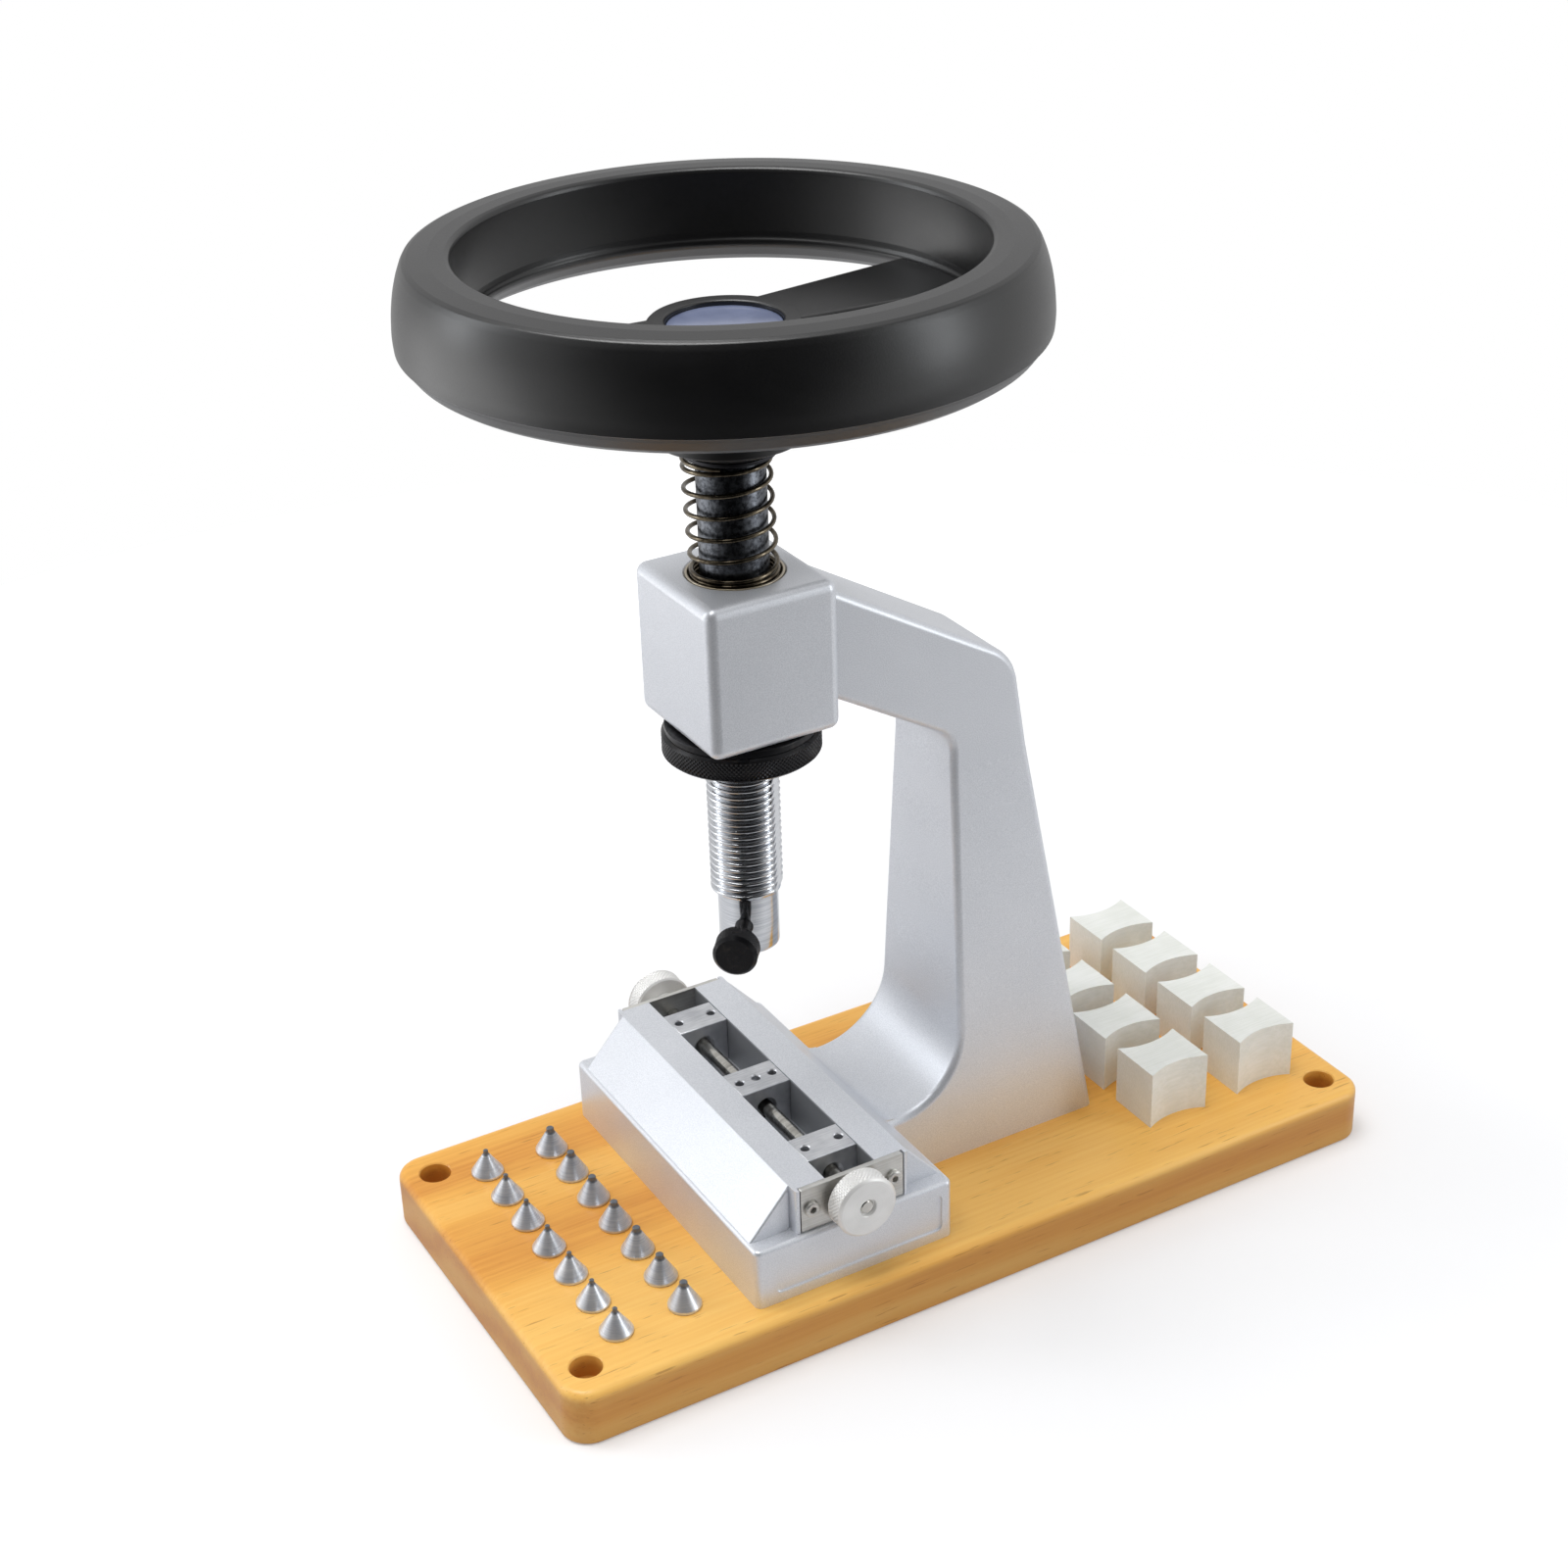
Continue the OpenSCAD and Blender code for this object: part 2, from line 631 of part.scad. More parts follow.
module end_plate(side) {
    color([0.68, 0.67, 0.64]) difference() {
        translate([side * (plate_back + plate_t / 2) - plate_t / 2, ay - plate_w / 2, vise_low_z + 0.1])
            cube([plate_t, plate_w, jaw_top - vise_low_z - 0.1]);
        rod_x(-90, 90, ay, screw_z, vscrew_r + fit_run);
        for (j = [-1, 1]) {
            rod_x(-90, 90, ay + j * plate_screw_gap / 2, screw_z, 1.4);
        }
    }
}

module end_plate_left() {
    end_plate(-1);
}

module end_plate_right() {
    end_plate(1);
}

module plate_screws() {
    color([0.66, 0.66, 0.68]) for (i = [-1, 1], j = [-1, 1]) {
        translate([i * plate_x, ay + j * plate_screw_gap / 2, screw_z]) rotate([0, i * 90, 0]) difference() {
            union() {
                cylinder(h = 1.1, r = 2.3);
                translate([0, 0, -plate_t - 6]) cylinder(h = plate_t + 6.5, r = 1.25 - fit_fixed);
            }
            translate([0, 0, 0.4]) cylinder(h = 2, r = 0.85, $fn = 6);
        }
    }
}

module jaw(side) {
    color([0.75, 0.76, 0.78]) difference() {
        translate([side * jaw_at - jaw_l / 2, ay - slot_w / 2 + fit_slide, vise_low_z + fit_slide])
            cube([jaw_l, slot_w - 2 * fit_slide, jaw_top - vise_low_z - fit_slide]);
        rod_x(-90, 90, ay, screw_z, vscrew_r + fit_run);
        // the thread's countersinks on both faces
        for (j = [-1, 1]) {
            translate([side * jaw_at + j * (jaw_l / 2 + 0.01), ay, screw_z]) rotate([0, -j * 90, 0])
                cylinder(h = 1.2, r1 = vscrew_r + 1.25, r2 = vscrew_r + fit_run);
        }
        for (j = [-1, 1]) {
            rod(side * jaw_at, ay + j * peg_gap / 2, jaw_top - peg_hole_d, jaw_top + 1, peg_hole_r);
        }
    }
}

module jaw_left() {
    jaw(-1);
}

module jaw_right() {
    jaw(1);
}

module centre_block() {
    color([0.75, 0.76, 0.78]) difference() {
        translate([-centre_l / 2, ay - slot_w / 2 + fit_fixed, vise_low_z])
            cube([centre_l, slot_w - 2 * fit_fixed, jaw_top - vise_low_z]);
        rod_x(-90, 90, ay, screw_z, vscrew_r + 1);
        for (j = [-1, 1]) {
            rod(0, ay + j * peg_gap / 2, jaw_top - peg_hole_d, jaw_top + 1, peg_hole_r);
            rod(0, ay + j * cscrew_y, vise_low_z - 1, vise_low_z + 5, 1.5);
        }
        rod(0, ay, screw_z + vscrew_r + 1.8, jaw_top + 1, peg_hole_r);
    }
}

module centre_block_screws() {
    color([0.55, 0.56, 0.58]) for (j = [-1, 1]) {
        rod(0, ay + j * cscrew_y, base_t + 4, base_t + 8, 2.75);
        rod(0, ay + j * cscrew_y, base_t + 7, vise_low_z + 4.8, 1.5 - fit_fixed);
    }
}

module holder_block(k) {
    p = block_place(k);
    hr = (block_y * block_y / 4 + block_hollow * block_hollow) / (2 * block_hollow);
    color([0.92, 0.92, 0.88]) difference() {
        translate([p.x - block_x / 2, p.y - block_y / 2, base_t]) cube([block_x, block_y, block_h]);
        for (i = [-1, 1]) {
            rod(p.x + i * (block_x / 2 - block_hollow + hr), p.y, base_t - 1, base_t + block_h + 1, hr, $fn = 128);
        }
        for (j = [-1, 1]) {
            rod(p.x, p.y + j * peg_gap / 2, base_t - 1, base_t + 5.1, pin_r + fit_fixed);
        }
    }
}

module block_pins(k) {
    p = block_place(k);
    color([0.6, 0.6, 0.62]) for (j = [-1, 1]) {
        rod(p.x, p.y + j * peg_gap / 2, base_t - pin_down, base_t + 5, pin_r);
    }
}

// a bit is a cone that stands in its hole: its pin is slim in the front row, wider in the back row
module bit(k) {
    p = bit_place(k);
    tip = k < 7 ? 0.7 : 1.1;
    color([0.8, 0.8, 0.82]) {
        rod(p.x, p.y, base_t - bit_down, base_t + 0.5, bit_r);
        translate([p.x, p.y, base_t]) rotate_extrude()
            polygon([[0, 0], [bit_cone_r - 0.2, 0], [bit_cone_r, 0.2], [bit_cone_r, 0.9],
                [tip + 0.3, bit_up - 1.5], [tip, bit_up - 1.5], [tip, bit_up], [0, bit_up]]);
    }
}

wooden_base();
frame_casting();
casting_screws();
head_bush();
thrust_washer();
return_spring();
spindle();
handwheel();
wheel_key();
hub_nut();
hub_cap();
stop_washer();
ring_nut();
lock_pad();
lock_screw();
lock_knob();
vise_screw();
vise_knob_left();
vise_knob_right();
end_plate_left();
end_plate_right();
plate_screws();
jaw_left();
jaw_right();
centre_block();
centre_block_screws();
holder_block(0);  // holder_block_1
holder_block(1);  // holder_block_2
holder_block(2);  // holder_block_3
holder_block(3);  // holder_block_4
holder_block(4);  // holder_block_5
holder_block(5);  // holder_block_6
holder_block(6);  // holder_block_7
holder_block(7);  // holder_block_8
block_pins(0);  // block_pins_1
block_pins(1);  // block_pins_2
block_pins(2);  // block_pins_3
block_pins(3);  // block_pins_4
block_pins(4);  // block_pins_5
block_pins(5);  // block_pins_6
block_pins(6);  // block_pins_7
block_pins(7);  // block_pins_8
bit(0);  // bit_1
bit(1);  // bit_2
bit(2);  // bit_3
bit(3);  // bit_4
bit(4);  // bit_5
bit(5);  // bit_6
bit(6);  // bit_7
bit(7);  // bit_8
bit(8);  // bit_9
bit(9);  // bit_10
bit(10);  // bit_11
bit(11);  // bit_12
bit(12);  // bit_13
bit(13);  // bit_14
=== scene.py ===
"""Dressed model of a small bench press: sprung handwheel spindle, self-centring vise, wooden base.

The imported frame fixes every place. Pieces are worked in millimetres on the bench, in the frame's
own axes, and come to metres when they are finished.
"""

import json
import logging
import math
from contextlib import contextmanager
from dataclasses import dataclass, field
from enum import Enum
from typing import Callable, Iterator, Sequence

import bmesh
import bpy
import numpy as np
from mathutils import Matrix, Vector


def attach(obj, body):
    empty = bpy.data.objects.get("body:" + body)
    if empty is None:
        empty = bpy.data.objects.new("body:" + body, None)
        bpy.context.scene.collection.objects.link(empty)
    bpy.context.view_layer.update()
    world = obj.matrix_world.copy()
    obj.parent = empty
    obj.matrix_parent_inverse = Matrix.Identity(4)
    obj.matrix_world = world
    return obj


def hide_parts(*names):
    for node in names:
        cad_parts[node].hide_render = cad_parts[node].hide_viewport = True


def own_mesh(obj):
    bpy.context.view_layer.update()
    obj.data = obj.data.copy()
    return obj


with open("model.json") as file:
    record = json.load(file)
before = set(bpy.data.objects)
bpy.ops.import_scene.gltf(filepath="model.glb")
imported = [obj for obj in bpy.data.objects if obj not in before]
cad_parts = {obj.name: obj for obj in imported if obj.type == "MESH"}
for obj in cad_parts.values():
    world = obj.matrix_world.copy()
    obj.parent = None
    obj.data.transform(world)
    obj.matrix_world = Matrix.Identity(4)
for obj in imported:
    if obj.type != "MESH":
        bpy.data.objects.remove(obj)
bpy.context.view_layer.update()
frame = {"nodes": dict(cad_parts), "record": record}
BODY_OF: dict[str, str] = {n: b for b, ns in frame["record"]["behaviour"]["bodies"].items() for n in ns}

logging.basicConfig(level=logging.INFO, format="%(message)s")
log = logging.getLogger("press")

Point = tuple[float, float, float]
Flat = tuple[float, float]
Colour = tuple[float, float, float, float]

# a millimetre, in metres
MM = 0.001

# shared places, in millimetres
AXIS_Y = -42.5
BOARD_TOP = 17.0
FOOT_TOP = 36.0
LOW_TOP = 35.5
VISE_TOP = 49.5
SCREW_Z = 42.6
HEAD_LOW = 163.0
HEAD_TOP = 205.0
SEAT_Z = 202.0
LOCK_Z = 104.0
LOCK_AZ = -38.5
FLAT_AZ = 47.0
FLAT_AT = 8.8
HUB_LOW = 238.0
HUB_TOP = 271.2

# the vise: ends along X, and what stands either side of its middle along Y
PLATE_IN = 50.9
TONGUE_END = 52.4
LOW_END = 54.0
SLOT_HALF = 7.75
PEG_AT = 5.25
PLATE_SCREW_AT = 12.8
BLOCK_SCREW_AT = 4.5


def tint(red: float, green: float, blue: float) -> Colour:
    """Colour from display values of 0 to 255.

    Args:
        red: the red value.
        green: the green value.
        blue: the blue value.

    Returns:
        The linear colour, with an alpha of 1.
    """
    def linear(c: float) -> float:
        """One channel made linear."""
        c /= 255.0
        return c / 12.92 if c <= 0.04045 else ((c + 0.055) / 1.055) ** 2.4
    return (linear(red), linear(green), linear(blue), 1.0)


# ---------------------------------------------------------------------------------------------
# shaders


class Line:
    """A socket's value in a shader tree; arithmetic on it adds the nodes."""

    def __init__(self, tree: bpy.types.NodeTree, socket: bpy.types.NodeSocket) -> None:
        """Wrap an output socket of the tree."""
        self.tree = tree
        self.socket = socket

    def maths(self, operation: str, *values: "Line | float") -> "Line":
        """Add one Math node.

        Args:
            operation: the node's operation.
            values: its inputs in order, values or numbers.

        Returns:
            The node's result.
        """
        node = self.tree.nodes.new("ShaderNodeMath")
        node.operation = operation
        for place, value in zip(node.inputs, values):
            if isinstance(value, Line):
                self.tree.links.new(value.socket, place)
            else:
                place.default_value = float(value)
        return Line(self.tree, node.outputs[0])

    def __add__(self, other: "Line | float") -> "Line":
        """Sum."""
        return self.maths("ADD", self, other)

    def __radd__(self, other: float) -> "Line":
        """Sum with a number first."""
        return self.maths("ADD", other, self)

    def __sub__(self, other: "Line | float") -> "Line":
        """Difference."""
        return self.maths("SUBTRACT", self, other)

    def __rsub__(self, other: float) -> "Line":
        """Difference from a number."""
        return self.maths("SUBTRACT", other, self)

    def __mul__(self, other: "Line | float") -> "Line":
        """Product."""
        return self.maths("MULTIPLY", self, other)

    def __rmul__(self, other: float) -> "Line":
        """Product with a number first."""
        return self.maths("MULTIPLY", other, self)

    def __gt__(self, other: "Line | float") -> "Line":
        """1 where this is larger, else 0."""
        return self.maths("GREATER_THAN", self, other)

    def __pow__(self, other: float) -> "Line":
        """Power."""
        return self.maths("POWER", self, other)

    def step(self, low: float, high: float) -> "Line":
        """Soft step.

        Args:
            low: where it is 0.
            high: where it is 1; below low for a step that falls.

        Returns:
            The step's value.
        """
        node = self.tree.nodes.new("ShaderNodeMapRange")
        node.interpolation_type = "SMOOTHSTEP"
        for name, value in (("From Min", low), ("From Max", high), ("To Min", 0.0), ("To Max", 1.0)):
            node.inputs[name].default_value = value
        self.tree.links.new(self.socket, node.inputs["Value"])
        return Line(self.tree, node.outputs["Result"])


class Shader:
    """A shader tree for one finish, around one surface node."""

    def __init__(self, name: str, tree: bpy.types.NodeTree | None = None) -> None:
        """Start a material, or work in the given tree.

        Args:
            name: the material's name.
            tree: a tree that is there already.
        """
        self.material = None
        if tree is None:
            self.material = bpy.data.materials.new(name)
            self.material.use_nodes = True
            tree = self.material.node_tree
        self.tree = tree
        self.tree.nodes.clear()

    def node(self, kind: str, settings: dict | None = None, inputs: dict | None = None) -> bpy.types.Node:
        """Add a node.

        Args:
            kind: the node's type.
            settings: its own settings; stops gives a ramp's places and colours.
            inputs: sockets by name or number, values or lines.

        Returns:
            The node.
        """
        node = self.tree.nodes.new(kind)
        for key, value in (settings or {}).items():
            if key == "stops":
                ramp = node.color_ramp.elements
                while len(ramp) < len(value):
                    ramp.new(1.0)
                for stop, (place, colour) in zip(ramp, value):
                    stop.position = place
                    stop.color = colour
            else:
                setattr(node, key, value)
        for key, value in (inputs or {}).items():
            if isinstance(value, Line):
                self.tree.links.new(value.socket, node.inputs[key])
            else:
                node.inputs[key].default_value = value
        return node

    def out(self, node: bpy.types.Node, name: str | int = 0) -> Line:
        """A node's output as a line."""
        return Line(self.tree, node.outputs[name])

    def place(self) -> Line:
        """Object coordinates, in metres."""
        return self.out(self.node("ShaderNodeTexCoord"), "Object")

    def axes(self, vector: Line) -> tuple[Line, Line, Line]:
        """The three numbers of a vector."""
        node = self.node("ShaderNodeSeparateXYZ", inputs={0: vector})
        return self.out(node, 0), self.out(node, 1), self.out(node, 2)

    def mapped(self, scale: Point, move: Point = (0, 0, 0), turn: Point = (0, 0, 0)) -> Line:
        """Object coordinates moved, turned and scaled."""
        node = self.node("ShaderNodeMapping", {"vector_type": "POINT"},
                         {"Vector": self.place(), "Location": move, "Rotation": turn, "Scale": scale})
        return self.out(node)

    def noise(self, vector: Line, scale: float = 1.0, detail: float = 2.0, rough: float = 0.5,
              twist: float = 0.0) -> Line:
        """Noise from 0 to 1 over a vector."""
        node = self.node("ShaderNodeTexNoise", inputs={
            "Vector": vector, "Scale": scale, "Detail": detail, "Roughness": rough, "Distortion": twist})
        return self.out(node, 0)

    def mix(self, share: "Line | float", first: "Line | Colour", second: "Line | Colour") -> Line:
        """Colour between two."""
        node = self.node("ShaderNodeMix", {"data_type": "RGBA"}, {0: share, 6: first, 7: second})
        return self.out(node, 2)

    def ramp(self, share: Line, stops: Sequence[tuple[float, Colour]]) -> Line:
        """Colour along a ramp."""
        return self.out(self.node("ShaderNodeValToRGB", {"stops": stops}, {0: share}))

    def bump(self, height: Line, depth: float, strength: float = 1.0, normal: Line | None = None) -> Line:
        """Normal bent by a height.

        Args:
            height: the relief, 0 to 1.
            depth: what 1 stands for, in metres.
            strength: the share of the bend that is used.
            normal: a normal that is bent already.

        Returns:
            The new normal.
        """
        inputs = {"Height": height, "Distance": depth, "Strength": strength}
        if normal is not None:
            inputs["Normal"] = normal
        return self.out(self.node("ShaderNodeBump", inputs=inputs))

    def surface(self, inputs: dict) -> None:
        """Close the tree with its surface."""
        surface = self.node("ShaderNodeBsdfPrincipled", inputs=inputs)
        self.node("ShaderNodeOutputMaterial", inputs={"Surface": self.out(surface)})


@dataclass(frozen=True)
class Finish:
    """A finish, made once and shared by the pieces that have it."""

    name: str = "finish"
    slot: str = "fastener"

    def paint(self, shader: Shader) -> None:
        """Fill the tree.

        Args:
            shader: the tree to fill.
        """
        raise NotImplementedError

    def material(self) -> bpy.types.Material:
        """The finish's material.

        Returns:
            The material, made at the first call.
        """
        known = bpy.data.materials.get("look_" + self.name)
        if known:
            return known
        shader = Shader("look_" + self.name)
        self.paint(shader)
        return shader.material


@dataclass(frozen=True)
class SilverPaint(Finish):
    """Fine-grained silver paint on a casting."""

    name: str = "silver_paint"
    slot: str = "silver_paint"
    light: Colour = tint(236, 238, 243)
    dark: Colour = tint(209, 212, 218)
    # painted shade: the grey that the walls and floor down in the slot are darkened towards
    slot_shade: Colour = tint(122, 124, 128)

    def paint(self, shader: Shader) -> None:
        """Grain in colour, gloss and relief, over a soft orange peel; painted shade down in the slot.

        Args:
            shader: the tree to fill.
        """
        place = shader.place()
        _, y, z = shader.axes(place)
        # painted shade: a mask for the walls and floor down in the slot, which are darkened there
        across = ((y - AXIS_Y * MM) ** 2.0).step(0.0081 ** 2, 0.0078 ** 2)
        inside = across * z.step(0.0493, 0.0485) * (z > 0.03553)
        flakes = shader.noise(place, 3200, 2, 0.6)
        cloud = shader.noise(place, 45, 3, 0.55)
        peel = shader.noise(place, 420, 2, 0.5)
        share = flakes * 0.85 + cloud * 0.14
        shader.surface({
            "Base Color": shader.mix(inside * 0.75, shader.mix(share.step(0.25, 0.8), self.dark, self.light),
                                     self.slot_shade),
            "Metallic": 0.55,
            "Roughness": 0.31 + flakes * 0.14,
            "Normal": shader.bump(flakes, 0.00002, 0.7, shader.bump(peel, 0.00004, 0.35)),
        })


@dataclass(frozen=True)
class BlackPlastic(Finish):
    """Satin black moulded plastic with a fine grain."""

    name: str = "black_plastic"
    slot: str = "black_plastic"
    light: Colour = tint(10, 10, 12)
    dark: Colour = tint(5, 5, 6)

    def paint(self, shader: Shader) -> None:
        """Micro texture, faint flow marks and rubbed gloss.

        Args:
            shader: the tree to fill.
        """
        place = shader.place()
        grain = shader.noise(place, 2400, 2, 0.6)
        flow = shader.noise(shader.mapped((22, 22, 60)), 1.0, 3, 0.6, 0.4)
        shader.surface({
            "Base Color": shader.mix(flow.step(0.3, 0.75), self.dark, self.light),
            "Roughness": 0.25 + flow * 0.1 + grain * 0.1,
            "Specular IOR Level": 0.72,
            "Normal": shader.bump(grain, 0.00003, 0.5),
        })


@dataclass(frozen=True)
class BlackMetal(Finish):
    """Blackened steel, a little worn on the crests."""

    name: str = "black_metal"
    slot: str = "black_metal"
    base: Colour = tint(22, 22, 25)
    worn: Colour = tint(52, 49, 46)

    def paint(self, shader: Shader) -> None:
        """Dark oxide with small rubbed spots.

        Args:
            shader: the tree to fill.
        """
        place = shader.place()
        spots = shader.noise(place, 900, 4, 0.6)
        cloud = shader.noise(place, 120, 2, 0.5)
        shader.surface({
            "Base Color": shader.mix((spots * 0.6 + cloud * 0.5).step(0.55, 0.85), self.base, self.worn),
            "Metallic": 0.55,
            "Roughness": 0.2 + cloud * 0.14,
            "Normal": shader.bump(spots, 0.00002, 0.4),
        })


@dataclass(frozen=True)
class Metal(Finish):
    """Bare or plated metal with its working marks."""

    name: str = "metal"
    slot: str = "fastener"
    light: Colour = tint(222, 223, 226)
    dark: Colour = tint(196, 198, 203)
    rough: float = 0.2
    spread: float = 0.12
    marks: Point = (30, 30, 5000)
    relief: float = 0.3
    metallic: float = 1.0

    def paint(self, shader: Shader) -> None:
        """Marks in one direction over soft clouds.

        Args:
            shader: the tree to fill.
        """
        marks = shader.noise(shader.mapped(self.marks), 1.0, 3, 0.6)
        cloud = shader.noise(shader.place(), 90, 3, 0.6)
        shader.surface({
            "Base Color": shader.mix((marks * 0.5 + cloud * 0.5).step(0.3, 0.7), self.dark, self.light),
            "Metallic": self.metallic,
            "Roughness": self.rough + marks * self.spread * 0.5 + cloud * self.spread * 0.5,
            "Normal": shader.bump(marks, 0.00001, self.relief),
        })


@dataclass(frozen=True)
class SpindleSteel(Finish):
    """Bright threaded steel, painted dark and mottled above the head as the black wheel's painted reflection and
    shade.
    """

    name: str = "spindle_steel"
    slot: str = "spindle_steel"
    light: Colour = tint(228, 230, 233)
    dark: Colour = tint(190, 193, 199)
    # painted reflection and shade: the two greys of the spindle above the head, standing in for the black wheel
    # mirrored in the steel and the shade under it
    painted_reflection_dark: Colour = tint(60, 62, 66)
    painted_reflection_light: Colour = tint(108, 111, 117)

    def paint(self, shader: Shader) -> None:
        """Bright below; above the head's top, a mottled painted reflection of the black wheel and painted shade.

        Args:
            shader: the tree to fill.
        """
        place = shader.place()
        _, _, height = shader.axes(place)
        # painted reflection and shade: from the head's top upwards the steel is painted dark and mottled
        painted_reflection_share = height.step(0.196, 0.204)
        marks = shader.noise(shader.mapped((60, 60, 4200)), 1.0, 3, 0.6)
        mottle = shader.noise(place, 850, 4, 0.7)
        bright = shader.mix(marks.step(0.3, 0.7), self.dark, self.light)
        mottled_reflection = shader.mix(mottle.step(0.36, 0.64), self.painted_reflection_dark, self.painted_reflection_light)
        shader.surface({
            "Base Color": shader.mix(painted_reflection_share, bright, mottled_reflection),
            "Metallic": 1.0,
            "Roughness": 0.1 + marks * 0.08 + painted_reflection_share * mottle * 0.34,
            "Normal": shader.bump(marks, 0.000006, 0.4),
        })


@dataclass(frozen=True)
class TurnedFace(Finish):
    """Satin plated knob with turning rings about an axis along X."""

    name: str = "turned_face"
    slot: str = "nickel"
    light: Colour = tint(243, 242, 240)
    dark: Colour = tint(222, 221, 219)

    def paint(self, shader: Shader) -> None:
        """Rings by the distance from the screw's axis.

        Args:
            shader: the tree to fill.
        """
        place = shader.place()
        _, side, height = shader.axes(place)
        radius = ((side - AXIS_Y * MM) ** 2.0 + (height - SCREW_Z * MM) ** 2.0) ** 0.5
        grooves = shader.noise(shader.out(shader.node("ShaderNodeCombineXYZ", inputs={0: radius * 9000})), 1.0, 2)
        cloud = shader.noise(place, 150, 2, 0.5)
        shader.surface({
            "Base Color": shader.mix((grooves * 0.6 + cloud * 0.4).step(0.3, 0.7), self.dark, self.light),
            "Metallic": 0.4,
            "Roughness": 0.32 + grooves * 0.12 + cloud * 0.08,
            "Normal": shader.bump(grooves, 0.000008, 0.5),
        })


@dataclass(frozen=True)
class BitSteel(Finish):
    """Satin steel cones whose slim tips are darker."""

    name: str = "bit_steel"
    slot: str = "bit_steel"
    light: Colour = tint(232, 234, 238)
    dark: Colour = tint(190, 196, 206)
    tip: Colour = tint(112, 116, 122)

    def paint(self, shader: Shader) -> None:
        """Turning marks, and the tip by its height.

        Args:
            shader: the tree to fill.
        """
        place = shader.place()
        _, _, height = shader.axes(place)
        marks = shader.noise(shader.mapped((90, 90, 6000)), 1.0, 2, 0.5)
        cloud = shader.noise(place, 240, 2, 0.5)
        body = shader.mix((marks * 0.6 + cloud * 0.4).step(0.3, 0.7), self.dark, self.light)
        shader.surface({
            "Base Color": shader.mix(height.step(0.0232, 0.0236), body, self.tip),
            "Metallic": 0.7,
            "Roughness": 0.3 + marks * 0.1,
            "Normal": shader.bump(marks, 0.000008, 0.4),
        })


@dataclass(frozen=True)
class Nylon(Finish):
    """Off-white nylon with faint cutting streaks."""

    name: str = "nylon"
    slot: str = "nylon"
    light: Colour = tint(240, 241, 237)
    dark: Colour = tint(224, 226, 219)

    def paint(self, shader: Shader) -> None:
        """Streaks across the block and soft clouds.

        Args:
            shader: the tree to fill.
        """
        streaks = shader.noise(shader.mapped((2600, 90, 900)), 1.0, 3, 0.6)
        cloud = shader.noise(shader.place(), 70, 3, 0.6)
        shader.surface({
            "Base Color": shader.mix((streaks * 0.55 + cloud * 0.5).step(0.3, 0.75), self.dark, self.light),
            "Roughness": 0.4 + streaks * 0.16,
            "Subsurface Weight": 0.06,
            "Subsurface Radius": (0.004, 0.004, 0.003),
            "Normal": shader.bump(streaks, 0.00002, 0.45),
        })


@dataclass(frozen=True)
class CapGloss(Finish):
    """Glossy blue-grey cap."""

    name: str = "cap_gloss"
    slot: str = "cap_gloss"
    light: Colour = tint(126, 135, 164)
    dark: Colour = tint(98, 107, 136)

    def paint(self, shader: Shader) -> None:
        """Nearly even, with a faint cloud and tiny dust marks.

        Args:
            shader: the tree to fill.
        """
        cloud = shader.noise(shader.place(), 60, 2, 0.5)
        dust = shader.noise(shader.place(), 2500, 2, 0.6)
        shader.surface({
            "Base Color": shader.mix(cloud.step(0.3, 0.7), self.dark, self.light),
            "Roughness": 0.14 + dust * 0.08,
            "Coat Weight": 0.6,
            "Coat Roughness": 0.06,
            "Normal": shader.bump(cloud, 0.00003, 0.3),
        })


@dataclass(frozen=True)
class VarnishedWood(Finish):
    """Varnished hardwood with its grain along Y."""

    name: str = "varnished_wood"
    slot: str = "wood"
    pale: Colour = tint(247, 197, 106)
    middle: Colour = tint(236, 173, 76)
    deep: Colour = tint(214, 142, 52)
    pore: Colour = tint(150, 90, 34)
    # painted shade: the darker tone laid over the board's sides
    side: Colour = tint(158, 96, 38)

    def paint(self, shader: Shader) -> None:
        """Growth rings about a far axis, fibres and short dark pores, and painted shade on the board's sides.

        Args:
            shader: the tree to fill.
        """
        rings = shader.out(shader.node(
            "ShaderNodeTexWave",
            {"wave_type": "RINGS", "rings_direction": "Y", "wave_profile": "SIN"},
            {"Vector": shader.mapped((1.0, 0.16, 1.0), (-0.052, 0.0, 0.19), (0.02, 0.0, 0.012)),
             "Scale": 22.0, "Distortion": 3.2, "Detail": 3.0, "Detail Scale": 1.6, "Detail Roughness": 0.6}), 1)
        fibres = shader.noise(shader.mapped((760, 17, 760)), 1.0, 4, 0.62, 0.2)
        broad = shader.noise(shader.mapped((26, 3.2, 26)), 1.0, 3, 0.55, 0.6)
        dashes = shader.noise(shader.mapped((1500, 92, 1500)), 1.0, 2, 0.5)
        pores = dashes.step(0.64, 0.73) * (0.25 + 0.6 * broad)
        share = rings * 0.3 + fibres * 0.42 + broad * 0.4 - 0.06
        colour = shader.ramp(share, [(0.25, self.deep), (0.5, self.middle), (0.78, self.pale)])
        # painted shade: below the top's rounding the board's sides take the darker tone
        _, _, height = shader.axes(shader.place())
        low = height.step(0.0162, 0.0135) * 0.45
        shader.surface({
            "Base Color": shader.mix(low, shader.mix(pores * 0.75, colour, self.pore), self.side),
            "Roughness": 0.36 + fibres * 0.1 + pores * 0.15,
            "Coat Weight": 0.14,
            "Coat Roughness": 0.16,
            "Normal": shader.bump(fibres * 0.5 - pores, 0.00004, 0.4),
        })


